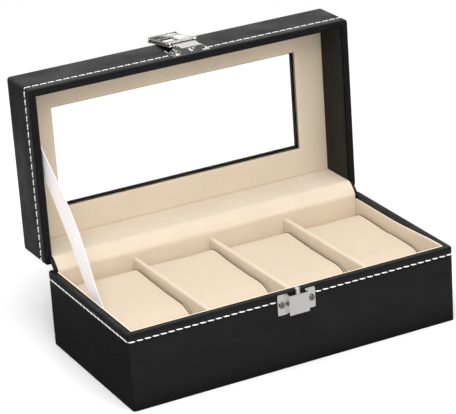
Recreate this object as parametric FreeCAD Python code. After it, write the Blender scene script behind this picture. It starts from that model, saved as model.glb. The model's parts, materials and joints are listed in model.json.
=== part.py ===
import FreeCAD, Part
import math
import os

from FreeCAD import Vector

# A four-slot watch box with a leather-look cover, a window lid, a folding clasp and a ribbon stay.
# Millimetres. The origin is the middle of the underside, +Z is up, and the clasp faces -Y.
# The lid and the clasp are drawn shut and then turned to where they rest: lid open, flap folded back.

# Outside of the box
WIDTH = 210.0
DEPTH = 108.0
BASE_HEIGHT = 47.0
LID_HEIGHT = 32.4
RIM_GAP = 0.6
LID_OPEN_DEG = 90.8

# Layers of the walls, from the outside in
LEATHER = 1.0
BOARD = 2.8
LINING = 1.2
FELT = 0.6
EDGE_R = 2.0
RIM_R = 0.4
CARD_R = 0.4
SOFT_GAP = 0.15

# Inside of the base
SLOTS = 4
LINING_DROP = 0.6
DIVIDER = 3.2
DIVIDER_DROP = 3.6
DIVIDER_R = 1.2

# Cushions
CUSHION_HEIGHT = 33.6
CUSHION_SIDE_GAP = 1.6
CUSHION_BACK_GAP = 0.4
CUSHION_FRONT_GAP = 12.6
CUSHION_SEAT_GAP = 0.1
CUSHION_FRONT_R = 18.0
CUSHION_BACK_R = 8.0
CUSHION_FOOT_R = 5.0
CUSHION_DRAW = 2.4
CUSHION_FOOT_DRAW = 0.6
CUSHION_CRISP = 6
CUSHION_STEPS = 7
CUSHION_ROUND_SHARE = 0.7
CUSHION_FOOT_SHARE = 0.25

# Lid
TOP_BOARD = 4.0
GLASS = 1.8
GLASS_LAP = 6.0
GLASS_FIT = 0.2
FRAME_CARD = 1.2
WINDOW_SIDE = 23.5
WINDOW_END = 22.5
BACK_LINING_START = 4.6

# Hinges
HINGE_INSET = 37.0
LEAF_W = 24.0
LEAF_H = 10.0
LEAF_T = 0.8
KNUCKLE_R = 1.5
KNUCKLE_W = 7.6
KNUCKLE_GAP = 0.2
KNUCKLE_CLEAR = 0.2
LEAF_GAP = 0.4
HINGE_PIN_R = 0.8
LEAF_SCREW_INSET = 4.5

# Fits of pins and screws
RUN_FIT = 0.06
SET_FIT = 0.02
SCREW_FIT = 0.05

# Screws of the hinges (small) and of the clasp (big); a stop is the board left behind the tip
SMALL_HEAD_R = 1.6
SMALL_HEAD_H = 0.6
SMALL_SHANK_R = 0.75
SMALL_STOP = 1.0
BIG_HEAD_R = 1.9
BIG_HEAD_H = 0.9
BIG_SHANK_R = 0.9
BIG_STOP = 0.6
CROSS_W = 0.45
CROSS_DEPTH = 0.35
CROSS_SHARE = 0.65

# Clasp: both plates have a raised lug in the middle and a wing with a screw on either side
CLASP_T = 0.8
CLASP_CORNER_R = 0.8
CLASP_WING = 5.05
LUG_W = 14.2
LUG_TAPER = 0.7

# Clasp: keeper on the base, with its stud
KEEPER_H = 12.5
KEEPER_DROP = 0.7
KEEPER_STEP = 0.3
KEEPER_SLOPE = 0.5
POCKET_DEPTH = 2.2
POCKET_WALL = 0.6
STUD_R = 1.5
STUD_WALL = 0.2
STUD_DEPTH = 5.0
STUD_REACH = 1.2
STUD_FIT = 0.2
STUD_TIP_R = 0.5

# Clasp: plate on the lid
LID_PLATE_UP = 0.6
LID_PLATE_H = 13.0
LID_LUG_PROUD = 0.4
LID_LUG_H = 9.4
STUD_HOLE_DEPTH = 3.2

# Clasp: pin and flap
PIN_UP = 12.0
PIN_R = 0.7
PIN_KNUCKLE_R = 1.6
PIN_WEB_DROP = 1.0
EAR_W = 2.1
EAR_ROOT = 1.0
EAR_GAP = 0.15
FLAP_SIDE = 1.5
FLAP_TAB = 1.8
FLAP_T = 0.8
FLAP_OUT = 0.75
FLAP_CLEAR = 0.35
FLAP_CUT_CLEAR = 0.6
FLANGE_T = 0.8
FLANGE_DEPTH = 1.6
LIP_T = 0.8
LIP_HOOK = 1.8
LIP_CLEAR = 0.4
FLAP_WINDOW_W = 8.0
FLAP_WINDOW_L = 9.6
FLAP_WINDOW_END = 2.6
FLAP_REST_GAP = 0.15

# Soft pieces between base and lid
COVER_T = 0.7
COVER_SIDE_GAP = 1.0
RIBBON_W = 13.0
RIBBON_T = 0.4
RIBBON_BOW = 1.0
RIBBON_BASE_Y = -7.0
RIBBON_BASE_DROP = 5.5
RIBBON_LID_Y = -20.3
RIBBON_LID_UP = 13.1

# A cut runs this far past the piece, a rounding takes at most this share, and equal means this close
OVER = 1.0
ROUND_SHARE = 0.45
NEAR = 1e-6

# Faces and levels that follow from the sizes above
OUT_X, OUT_Y = WIDTH / 2, DEPTH / 2
SKIN_X, SKIN_Y = OUT_X - LEATHER, OUT_Y - LEATHER
CORE_X, CORE_Y = SKIN_X - BOARD, SKIN_Y - BOARD
ROOM_X, ROOM_Y = CORE_X - LINING, CORE_Y - LINING
FLOOR_TOP = FELT + BOARD + LINING
BASE_BOARD_TOP = BASE_HEIGHT - LEATHER
DIVIDER_TOP = BASE_HEIGHT - DIVIDER_DROP
SLOT = (2 * ROOM_X - (SLOTS - 1) * DIVIDER) / SLOTS
LID_RIM = BASE_HEIGHT + RIM_GAP
LID_FOLD = LID_RIM + LEATHER
LID_TOP = LID_RIM + LID_HEIGHT
LID_BOARD_TOP = LID_TOP - LEATHER
LID_BOARD_UNDER = LID_BOARD_TOP - TOP_BOARD
FRAME_UNDER = LID_BOARD_UNDER - FRAME_CARD
WINDOW_X, WINDOW_Y = OUT_X - WINDOW_SIDE, OUT_Y - WINDOW_END
AXIS_Y, AXIS_Z = OUT_Y + KNUCKLE_R + KNUCKLE_CLEAR, BASE_HEIGHT + RIM_GAP / 2
HINGE_X = OUT_X - HINGE_INSET
SMALL_SHANK = LEAF_T + LEATHER + BOARD - SMALL_STOP
BIG_SHANK = CLASP_T + LEATHER + BOARD - BIG_STOP
CLASP_W = LUG_W + 2 * CLASP_WING
CLASP_SCREW_X = (LUG_W + CLASP_WING) / 2
KEEPER_TOP = BASE_HEIGHT - KEEPER_DROP
KEEPER_FOOT = KEEPER_TOP - KEEPER_H
KEEPER_MID = KEEPER_FOOT + KEEPER_H / 2
STUD_OUT = CLASP_T + STUD_WALL + STUD_R
KEEPER_OUT = STUD_OUT + STUD_R + STUD_WALL
STUD_FOOT = KEEPER_TOP - KEEPER_STEP - STUD_DEPTH
LID_PLATE_FOOT = LID_RIM + LID_PLATE_UP
LID_PLATE_MID = LID_PLATE_FOOT + LID_PLATE_H / 2
LID_LUG_OUT = KEEPER_OUT + LID_LUG_PROUD
FLAP_INNER = LID_LUG_OUT + FLAP_CLEAR
FLAP_OUTER = FLAP_INNER + FLAP_T
FLAP_W = LUG_W + 2 * (FLAP_SIDE + FLANGE_T)
PIN_Z = LID_PLATE_FOOT + PIN_UP
PIN_OUT = FLAP_INNER - FLAP_OUT
PIN_KNUCKLE_W = FLAP_W - 2 * (EAR_W + EAR_GAP)
EAR_R = FLAP_OUT + FLAP_T
FLAP_CUT = PIN_Z - PIN_KNUCKLE_R - FLAP_CUT_CLEAR
LIP_TOP = KEEPER_FOOT - LIP_CLEAR
LIP_FOOT = LIP_TOP - LIP_T

X_AXIS = Vector(1, 0, 0)


def fold_tilt():
    """Angle past half a turn at which the folded flap meets the rounded top edge of the lid."""
    along = LID_TOP - EDGE_R - PIN_Z
    below = PIN_OUT + EDGE_R
    reach = FLAP_OUT + FLAP_T + EDGE_R + FLAP_REST_GAP
    return math.degrees(math.acos(reach / math.hypot(along, below)) - math.atan2(along, below))


FOLD_DEG = 180.0 + fold_tilt()


def box(x0, x1, y0, y1, z0, z1):
    """Block between two corners."""
    return Part.makeBox(x1 - x0, y1 - y0, z1 - z0, Vector(x0, y0, z0))


def block(half_x, half_y, z0, z1):
    """Block centred on the Z axis."""
    return box(-half_x, half_x, -half_y, half_y, z0, z1)


def front_box(x0, x1, z0, z1, out0, out1):
    """Block on the front face, from out0 to out1 in front of it."""
    return box(x0, x1, -OUT_Y - out1, -OUT_Y - out0, z0, z1)


def rod_x(x0, x1, y, z, r):
    """Round rod along X."""
    return Part.makeCylinder(r, x1 - x0, Vector(x0, y, z), X_AXIS)


def soften(shape, r, wanted):
    """Rounds the edges whose bounding box passes the test."""
    edges = [e for e in shape.Edges if wanted(e.BoundBox)]
    return shape.makeFillet(r, edges) if edges else shape


def one(shape):
    """The single solid of a boolean's result."""
    return shape.removeSplitter().Solids[0]


def opened(shape):
    """The lid's pieces where they rest, with the lid open."""
    turned = shape.copy()
    turned.rotate(Vector(0, AXIS_Y, AXIS_Z), X_AXIS, -LID_OPEN_DEG)
    return turned


def folded(shape):
    """The clasp's flap folded back over the lid."""
    turned = shape.copy()
    turned.rotate(Vector(0, -OUT_Y - PIN_OUT, PIN_Z), X_AXIS, -FOLD_DEG)
    return turned


def wedge(side, z0, z1):
    """Mitre wedge that holds one of the four sides."""
    far, near = EDGE_R + LEATHER, LEATHER + BOARD + LINING + EDGE_R
    a, b = OUT_X + far, OUT_Y + far
    c, d = OUT_X - near, OUT_Y - near
    corners = {
        "front": [(-a, -b), (a, -b), (c, -d), (-c, -d)],
        "back": [(-a, b), (a, b), (c, d), (-c, d)],
        "left": [(-a, -b), (-a, b), (-c, d), (-c, -d)],
        "right": [(a, -b), (a, b), (c, d), (c, -d)],
    }[side]
    points = [Vector(x, y, z0) for x, y in corners]
    return Part.Face(Part.makePolygon(points + points[:1])).extrude(Vector(0, 0, z1 - z0))


def base_skin():
    """Leather of the base as one ring, with the fold over the rim."""
    skin = block(OUT_X, OUT_Y, 0, BASE_HEIGHT)
    skin = soften(skin, EDGE_R, lambda b: b.ZMax > BASE_HEIGHT - NEAR)
    skin = skin.cut(block(SKIN_X, SKIN_Y, -OVER, BASE_BOARD_TOP))
    skin = skin.cut(block(CORE_X, CORE_Y, 0, BASE_HEIGHT + OVER))
    return soften(skin, RIM_R, lambda b: b.ZMin > BASE_HEIGHT - NEAR and at_core(b))


def at_core(b):
    """True for a long straight edge on the inner face of the wall boards."""
    on_x = b.XLength < NEAR and abs(abs(b.XMin) - CORE_X) < NEAR and b.YLength > CORE_Y
    on_y = b.YLength < NEAR and abs(abs(b.YMin) - CORE_Y) < NEAR and b.XLength > CORE_X
    return on_x or on_y


def lid_skin():
    """Leather of the lid, shut, with the fold over its rim and the hole for the window."""
    skin = block(OUT_X, OUT_Y, LID_RIM, LID_TOP)
    skin = skin.makeFillet(EDGE_R, skin.Edges)
    skin = skin.cut(block(SKIN_X, SKIN_Y, LID_FOLD, LID_BOARD_TOP))
    skin = skin.cut(block(CORE_X, CORE_Y, LID_RIM - OVER, LID_BOARD_TOP))
    skin = skin.cut(block(WINDOW_X, WINDOW_Y, LID_BOARD_TOP - OVER, LID_TOP + OVER))
    return soften(skin, RIM_R, lambda b: b.ZMax < LID_RIM + NEAR and at_core(b))


def walls(z0, z1):
    """Four wall boards: front and back run through, the sides stand between them."""
    return {
        "front": box(-SKIN_X, SKIN_X, -SKIN_Y, -CORE_Y, z0, z1),
        "back": box(-SKIN_X, SKIN_X, CORE_Y, SKIN_Y, z0, z1),
        "left": box(-SKIN_X, -CORE_X, -CORE_Y, CORE_Y, z0, z1),
        "right": box(CORE_X, SKIN_X, -CORE_Y, CORE_Y, z0, z1),
    }


def linings(spans):
    """Four lining cards, each with its own foot and head."""
    return {
        "front": box(-CORE_X, CORE_X, -CORE_Y, -ROOM_Y, *spans["front"]),
        "back": box(-CORE_X, CORE_X, ROOM_Y, CORE_Y, *spans["back"]),
        "left": box(-CORE_X, -ROOM_X, -ROOM_Y, ROOM_Y, *spans["left"]),
        "right": box(ROOM_X, CORE_X, -ROOM_Y, ROOM_Y, *spans["right"]),
    }


def card_edge(card, z, side):
    """Rounds the lining's free edge at height z that faces the room."""
    r = min(CARD_R, ROUND_SHARE * LINING)
    faces = {"front": ("Y", -ROOM_Y), "back": ("Y", ROOM_Y), "left": ("X", -ROOM_X), "right": ("X", ROOM_X)}
    axis, at = faces[side]

    def wanted(b):
        low, high = (b.XMin, b.XMax) if axis == "X" else (b.YMin, b.YMax)
        on_face = abs(low - at) < NEAR and abs(high - at) < NEAR
        return on_face and abs(b.ZMin - z) < NEAR and abs(b.ZMax - z) < NEAR

    return soften(card, r, wanted)


def divider(index):
    """Card between two slots, rounded along its top."""
    x = -ROOM_X + (index + 1) * SLOT + index * DIVIDER
    card = box(x, x + DIVIDER, -ROOM_Y, ROOM_Y, FLOOR_TOP, DIVIDER_TOP)
    r = min(DIVIDER_R, ROUND_SHARE * DIVIDER)
    return soften(card, r, lambda b: b.ZMin > DIVIDER_TOP - NEAR and b.YLength > ROOM_Y)


def cushion_section(x, drawn):
    """Outline of a cushion at one place of its width: a block with a deep round at the front."""
    inset = CUSHION_DRAW * drawn
    y0 = -ROOM_Y + CUSHION_FRONT_GAP + inset
    y1 = ROOM_Y - CUSHION_BACK_GAP - inset
    z0 = FLOOR_TOP + CUSHION_SEAT_GAP + CUSHION_FOOT_DRAW * drawn
    z1 = FLOOR_TOP + CUSHION_SEAT_GAP + CUSHION_HEIGHT - inset
    front_r = min(CUSHION_FRONT_R, CUSHION_ROUND_SHARE * (z1 - z0))
    back_r = min(CUSHION_BACK_R, CUSHION_ROUND_SHARE * (z1 - z0))
    foot_r = min(CUSHION_FOOT_R, CUSHION_FOOT_SHARE * (z1 - z0))
    corners = [
        (y1, z0, -1, 1, foot_r, -90),
        (y1, z1, -1, -1, back_r, 0),
        (y0, z1, 1, -1, front_r, 90),
        (y0, z0, 1, 1, foot_r, 180),
    ]
    arcs = []
    for y, z, sy, sz, r, start in corners:
        cy, cz = y + sy * r, z + sz * r
        turn = [math.radians(start + step) for step in (0, 45, 90)]
        arcs.append([Vector(x, cy + r * math.cos(t), cz + r * math.sin(t)) for t in turn])
    edges = []
    for here, after in zip(arcs, arcs[1:] + arcs[:1]):
        edges.append(Part.Arc(*here).toShape())
        edges.append(Part.LineSegment(here[2], after[0]).toShape())
    return Part.Wire(edges)


def cushion(index):
    """Soft cushion with a crown and drawn-in ends, lofted across the slot."""
    middle = -ROOM_X + SLOT / 2 + index * (SLOT + DIVIDER)
    half = SLOT / 2 - CUSHION_SIDE_GAP
    wires = []
    for step in range(-CUSHION_STEPS, CUSHION_STEPS + 1):
        share = step / CUSHION_STEPS
        wires.append(cushion_section(middle + share * half, abs(share) ** CUSHION_CRISP))
    return Part.makeLoft(wires, True, False)


def screw(x, y, z, side, head_r, head_h, shank_r, shank_l):
    """Cross-head screw with its seat at the point, on the front (-1) or the back (1)."""
    body = Part.makeCylinder(head_r, head_h)
    body = soften(body, ROUND_SHARE * head_h, lambda b: b.ZMin > head_h - NEAR)
    arm = CROSS_SHARE * head_r
    for across, along in ((arm, CROSS_W / 2), (CROSS_W / 2, arm)):
        body = body.cut(block(across, along, head_h - CROSS_DEPTH, head_h + OVER))
    body = body.fuse(Part.makeCylinder(shank_r, shank_l, Vector(0, 0, -shank_l)))
    body = one(body)
    body.rotate(Vector(0, 0, 0), X_AXIS, -90 * side)
    body.translate(Vector(x, y, z))
    return body


def screw_hole(x, z, side, r, deep):
    """Round hole for a shank, from outside the wall inward."""
    start = OUT_Y + FLAP_OUTER
    return Part.makeCylinder(r, FLAP_OUTER + deep, Vector(x, side * start, z), Vector(0, -side, 0))


def hinge_screw_points(centre, on_lid):
    """Where the two screws of one leaf stand."""
    offset = KNUCKLE_R + LEAF_GAP + LEAF_H / 2
    z = AXIS_Z + offset if on_lid else AXIS_Z - offset
    apart = LEAF_W / 2 - LEAF_SCREW_INSET
    return [(centre - apart, z), (centre + apart, z)]


def hinge_leaf(centre, on_lid):
    """Leaf plate with its knuckles: two at the ends on the base, one in the middle on the lid."""
    up = 1 if on_lid else -1
    near, far = KNUCKLE_R + LEAF_GAP, KNUCKLE_R + LEAF_GAP + LEAF_H
    low, high = sorted((AXIS_Z + up * near, AXIS_Z + up * far))
    leaf = box(centre - LEAF_W / 2, centre + LEAF_W / 2, OUT_Y, OUT_Y + LEAF_T, low, high)
    if on_lid:
        spans = [(centre - KNUCKLE_W / 2, centre + KNUCKLE_W / 2)]
    else:
        inner = KNUCKLE_W / 2 + KNUCKLE_GAP
        spans = [(centre - LEAF_W / 2, centre - inner), (centre + inner, centre + LEAF_W / 2)]
    low, high = sorted((AXIS_Z, AXIS_Z + up * near))
    for x0, x1 in spans:
        leaf = leaf.fuse(box(x0, x1, OUT_Y, OUT_Y + LEAF_T, low, high))
        leaf = leaf.fuse(rod_x(x0, x1, AXIS_Y, AXIS_Z, KNUCKLE_R))
    fit = RUN_FIT if on_lid else SET_FIT
    leaf = leaf.cut(rod_x(centre - LEAF_W, centre + LEAF_W, AXIS_Y, AXIS_Z, HINGE_PIN_R + fit))
    for x, z in hinge_screw_points(centre, on_lid):
        leaf = leaf.cut(screw_hole(x, z, 1, SMALL_SHANK_R + SCREW_FIT, 0))
    return one(leaf)


def hinge_screws(centre, on_lid):
    """Two screws that hold one leaf on the back wall."""
    made = []
    for x, z in hinge_screw_points(centre, on_lid):
        made.append(screw(x, OUT_Y + LEAF_T, z, 1, SMALL_HEAD_R, SMALL_HEAD_H, SMALL_SHANK_R, SMALL_SHANK))
    return Part.makeCompound(made)


def hinge_holes(on_lid):
    """Holes for the hinge screws in the back wall."""
    deep = SMALL_SHANK - LEAF_T
    points = hinge_screw_points(-HINGE_X, on_lid) + hinge_screw_points(HINGE_X, on_lid)
    return [screw_hole(x, z, 1, SMALL_SHANK_R + SCREW_FIT, deep) for x, z in points]


def clasp_holes(z):
    """Holes for the two clasp screws in the front wall."""
    deep = BIG_SHANK - CLASP_T
    return [screw_hole(x, z, -1, BIG_SHANK_R + SCREW_FIT, deep) for x in (-CLASP_SCREW_X, CLASP_SCREW_X)]


def clasp_screw(x, z):
    """One screw of a clasp plate."""
    return screw(x, -OUT_Y - CLASP_T, z, -1, BIG_HEAD_R, BIG_HEAD_H, BIG_SHANK_R, BIG_SHANK)


def drilled(shape, holes):
    """The shape with a set of holes cut in it."""
    for hole in holes:
        shape = shape.cut(hole)
    return one(shape)


def plate(z0, z1):
    """Clasp plate with rounded corners on the front face."""
    body = front_box(-CLASP_W / 2, CLASP_W / 2, z0, z1, 0, CLASP_T)
    return soften(body, CLASP_CORNER_R, lambda b: b.XLength < NEAR and b.ZLength < NEAR)


def raised(half0, z0, z1, out0, half1, z2, z3, out1):
    """Tapered block that stands on the front face between two rectangles."""
    wires = []
    for half, low, high, out in ((half0, z0, z1, out0), (half1, z2, z3, out1)):
        y = -OUT_Y - out
        points = [Vector(-half, y, low), Vector(half, y, low), Vector(half, y, high), Vector(-half, y, high)]
        wires.append(Part.makePolygon(points + points[:1]))
    return Part.makeLoft(wires, True, True)


def keeper():
    """Keeper plate with its raised lug, open at the top and bored for the stud."""
    half = LUG_W / 2
    front_half = half - LUG_TAPER
    top = KEEPER_TOP - KEEPER_STEP
    lug = raised(
        half, KEEPER_FOOT, top, CLASP_T,
        front_half, KEEPER_FOOT, top - KEEPER_SLOPE, KEEPER_OUT,
    )
    body = plate(KEEPER_FOOT, KEEPER_TOP).fuse(lug)
    room = front_half - POCKET_WALL
    floor, front = top - POCKET_DEPTH, KEEPER_OUT - POCKET_WALL
    body = body.cut(front_box(-room, room, floor, KEEPER_TOP + OVER, -OVER, front))
    bore = Part.makeCylinder(STUD_R + SET_FIT, STUD_DEPTH + OVER, Vector(0, -OUT_Y - STUD_OUT, STUD_FOOT))
    return drilled(body.cut(bore), clasp_holes(KEEPER_MID))


def keeper_stud():
    """Round stud that stands out of the keeper's lug and enters the lid's hole."""
    tip = LID_PLATE_FOOT + STUD_REACH
    stud = Part.makeCylinder(STUD_R, tip - STUD_FOOT, Vector(0, -OUT_Y - STUD_OUT, STUD_FOOT))
    return soften(stud, min(STUD_TIP_R, ROUND_SHARE * STUD_R), lambda b: b.ZMin > tip - NEAR)


def lid_plate():
    """Clasp plate on the lid: raised lug with the stud hole, and the knuckle of the flap's pin."""
    foot, head = LID_PLATE_FOOT, LID_PLATE_FOOT + LID_PLATE_H
    half = LUG_W / 2
    body = plate(foot, head).fuse(raised(
        half, foot, head, CLASP_T,
        half - LUG_TAPER, foot, foot + LID_LUG_H, LID_LUG_OUT,
    ))
    web = PIN_KNUCKLE_W / 2
    body = body.fuse(front_box(-web, web, foot + LID_LUG_H - PIN_WEB_DROP, PIN_Z, CLASP_T / 2, PIN_OUT))
    body = body.fuse(rod_x(-web, web, -OUT_Y - PIN_OUT, PIN_Z, PIN_KNUCKLE_R))
    body = body.cut(rod_x(-FLAP_W, FLAP_W, -OUT_Y - PIN_OUT, PIN_Z, PIN_R + SET_FIT))
    under = Vector(0, -OUT_Y - STUD_OUT, foot - OVER)
    hole = Part.makeCylinder(STUD_R + STUD_FIT, STUD_HOLE_DEPTH + OVER, under)
    return drilled(body.cut(hole), clasp_holes(LID_PLATE_MID))


def flap():
    """Folding flap, drawn shut: plate with a window, side flanges, a catch lip and two ears on the pin."""
    half = FLAP_W / 2
    body = front_box(-half, half, LIP_FOOT - FLAP_TAB, FLAP_CUT, FLAP_INNER, FLAP_OUTER)
    body = body.fuse(front_box(-half, half, LIP_FOOT, LIP_TOP, KEEPER_OUT - LIP_HOOK, FLAP_OUTER))
    flange = FLAP_INNER - FLANGE_DEPTH
    for side in (-1, 1):
        outer = side * half
        rail = sorted((outer, outer - side * FLANGE_T))
        ear = sorted((outer, outer - side * EAR_W))
        body = body.fuse(front_box(*rail, LIP_FOOT, FLAP_CUT, flange, FLAP_OUTER))
        body = body.fuse(front_box(*ear, FLAP_CUT - EAR_ROOT, PIN_Z, PIN_OUT, FLAP_OUTER))
        body = body.fuse(rod_x(*ear, -OUT_Y - PIN_OUT, PIN_Z, EAR_R))
    wide, low = FLAP_WINDOW_W / 2, LIP_TOP + FLAP_WINDOW_END
    body = body.cut(front_box(-wide, wide, low, low + FLAP_WINDOW_L, FLAP_INNER - OVER, FLAP_OUTER + OVER))
    body = body.cut(rod_x(-FLAP_W, FLAP_W, -OUT_Y - PIN_OUT, PIN_Z, PIN_R + RUN_FIT))
    return one(body)


def hinge_cover():
    """Velvet strip over the hinge line: up the back wall, round the axis and along the lid."""
    half = ROOM_X - COVER_SIDE_GAP
    near, far = CORE_Y - SOFT_GAP, CORE_Y - SOFT_GAP - COVER_T
    low, high = DIVIDER_TOP + SOFT_GAP, LID_RIM + BACK_LINING_START - SOFT_GAP
    strip = box(-half, half, far, near, low, AXIS_Z)
    strip = strip.fuse(opened(box(-half, half, far, near, AXIS_Z, high)))
    corners = [(-half, far), (-half, near), (half, near), (half, far), (-half, far)]
    section = Part.Face(Part.makePolygon([Vector(x, y, AXIS_Z) for x, y in corners]))
    bend = section.revolve(Vector(0, AXIS_Y, AXIS_Z), X_AXIS, -LID_OPEN_DEG)
    return one(strip.fuse(bend))


def ribbon():
    """Satin stay from the base's left lining to the lid's, with a slight bow into the room."""
    foot = Vector(0, RIBBON_BASE_Y, BASE_HEIGHT - RIBBON_BASE_DROP)
    head = opened(Part.Vertex(Vector(0, RIBBON_LID_Y, LID_RIM + RIBBON_LID_UP))).Point
    along = head - foot
    length = along.Length
    along = along * (1 / length)
    across = along.cross(X_AXIS)
    start = Vector(-ROOM_X + SOFT_GAP, 0, 0) + foot - across * (RIBBON_W / 2)

    def at(s, out):
        return start + along * s + X_AXIS * out

    far = Part.Arc(at(0, 0), at(length / 2, RIBBON_BOW), at(length, 0)).toShape()
    near = Part.Arc(at(length, RIBBON_T), at(length / 2, RIBBON_BOW + RIBBON_T), at(0, RIBBON_T)).toShape()
    ends = [Part.LineSegment(at(length, 0), at(length, RIBBON_T)).toShape()]
    ends.append(Part.LineSegment(at(0, RIBBON_T), at(0, 0)).toShape())
    outline = Part.Wire([far, ends[0], near, ends[1]])
    print("ribbon length", round(length, 2), "width", RIBBON_W)
    return Part.Face(outline).extrude(across * RIBBON_W)


def base_pieces():
    """Everything that stays on the table."""
    made = {
        "bottom_felt": block(SKIN_X, SKIN_Y, 0, FELT),
        "base_floor_board": block(CORE_X, CORE_Y, FELT, FELT + BOARD),
        "base_lining_floor": block(CORE_X, CORE_Y, FELT + BOARD, FLOOR_TOP),
    }
    holes = {"front": clasp_holes(KEEPER_MID), "back": hinge_holes(False)}
    skin = base_skin()
    for side, wall in walls(FELT, BASE_BOARD_TOP).items():
        made["base_wall_" + side] = drilled(wall, holes.get(side, []))
        panel = skin.common(wedge(side, -OVER, BASE_HEIGHT + OVER))
        made["base_leather_" + side] = drilled(panel, holes.get(side, []))
    tops = {side: BASE_HEIGHT - LINING_DROP for side in ("front", "left", "right")}
    tops["back"] = DIVIDER_TOP
    for side, card in linings({side: (FLOOR_TOP, top) for side, top in tops.items()}).items():
        made["base_lining_" + side] = card_edge(card, tops[side], side)
    for index in range(SLOTS - 1):
        made["divider_%d" % (index + 1)] = divider(index)
    made["keeper_plate"] = keeper()
    made["keeper_stud"] = keeper_stud()
    made["keeper_screw_left"] = clasp_screw(-CLASP_SCREW_X, KEEPER_MID)
    made["keeper_screw_right"] = clasp_screw(CLASP_SCREW_X, KEEPER_MID)
    for side, x in (("left", -HINGE_X), ("right", HINGE_X)):
        made["hinge_base_leaf_" + side] = hinge_leaf(x, False)
        made["hinge_base_screws_" + side] = hinge_screws(x, False)
        made["hinge_pin_" + side] = rod_x(x - LEAF_W / 2, x + LEAF_W / 2, AXIS_Y, AXIS_Z, HINGE_PIN_R)
    made["hinge_cover"] = hinge_cover()
    made["ribbon_stay"] = ribbon()
    return made


def lid_pieces():
    """Everything that swings with the lid, drawn shut."""
    made = {}
    holes = {"front": clasp_holes(LID_PLATE_MID), "back": hinge_holes(True)}
    skin = lid_skin()
    seam = LID_TOP - EDGE_R
    sides = skin.common(block(OUT_X + OVER, OUT_Y + OVER, LID_RIM - OVER, seam))
    for side, wall in walls(LID_FOLD, LID_BOARD_UNDER).items():
        made["lid_wall_" + side] = drilled(wall, holes.get(side, []))
        panel = sides.common(wedge(side, LID_RIM - OVER, LID_TOP + OVER))
        made["lid_leather_" + side] = drilled(panel, holes.get(side, []))
    top = block(OUT_X + OVER, OUT_Y + OVER, seam, LID_TOP + OVER)
    made["lid_leather_top"] = one(skin.common(top))
    pane_x, pane_y = WINDOW_X + GLASS_LAP, WINDOW_Y + GLASS_LAP
    board = block(SKIN_X, SKIN_Y, LID_BOARD_UNDER, LID_BOARD_TOP)
    board = board.cut(block(WINDOW_X, WINDOW_Y, LID_BOARD_UNDER - OVER, LID_BOARD_TOP + OVER))
    rabbet_x, rabbet_y = pane_x + GLASS_FIT, pane_y + GLASS_FIT
    rabbet = block(rabbet_x, rabbet_y, LID_BOARD_UNDER - OVER, LID_BOARD_UNDER + GLASS)
    made["lid_top_board"] = one(board.cut(rabbet))
    made["window_pane"] = block(pane_x, pane_y, LID_BOARD_UNDER, LID_BOARD_UNDER + GLASS)
    card = block(CORE_X, CORE_Y, FRAME_UNDER, LID_BOARD_UNDER)
    sight = block(WINDOW_X, WINDOW_Y, FRAME_UNDER - OVER, LID_BOARD_UNDER + OVER)
    made["window_inner_frame"] = one(card.cut(sight))
    spans = {side: (LID_FOLD, FRAME_UNDER) for side in ("front", "left", "right")}
    spans["back"] = (LID_RIM + BACK_LINING_START, FRAME_UNDER)
    for side, card in linings(spans).items():
        made["lid_lining_" + side] = card_edge(card, spans[side][0], side)
    for side, x in (("left", -HINGE_X), ("right", HINGE_X)):
        made["hinge_lid_leaf_" + side] = hinge_leaf(x, True)
        made["hinge_lid_screws_" + side] = hinge_screws(x, True)
    made["clasp_plate"] = lid_plate()
    made["clasp_screw_left"] = clasp_screw(-CLASP_SCREW_X, LID_PLATE_MID)
    made["clasp_screw_right"] = clasp_screw(CLASP_SCREW_X, LID_PLATE_MID)
    made["clasp_pin"] = rod_x(-FLAP_W / 2, FLAP_W / 2, -OUT_Y - PIN_OUT, PIN_Z, PIN_R)
    return made


pieces = base_pieces()
for name, shape in lid_pieces().items():
    pieces[name] = opened(shape)
pieces["clasp_flap"] = opened(folded(flap()))
for number in range(SLOTS):
    pieces["cushion_%d" % (number + 1)] = cushion(number)

os.makedirs("parts", exist_ok=True)
for name, shape in pieces.items():
    if not shape.isValid():
        print("not valid:", name)
    shape.exportStep("parts/%s.step" % name)

pin_at_rest = opened(Part.Vertex(Vector(0, -OUT_Y - PIN_OUT, PIN_Z))).Point
print("pieces", len(pieces))
print("lid axis", (0, AXIS_Y, AXIS_Z), "closes by", LID_OPEN_DEG)
print("clasp pin at rest", tuple(round(c, 4) for c in pin_at_rest), "closes by", round(FOLD_DEG, 4))
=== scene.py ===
"""Looks of a four-slot watch box: black leather-look shell, cream velvet, nickel clasp and satin ribbon."""

import json
import logging
import math
from dataclasses import dataclass, field
from enum import Enum
from typing import Callable, Optional, Sequence

import bmesh
import bpy
from mathutils import Matrix, Vector, noise
from mathutils.bvhtree import BVHTree


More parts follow.
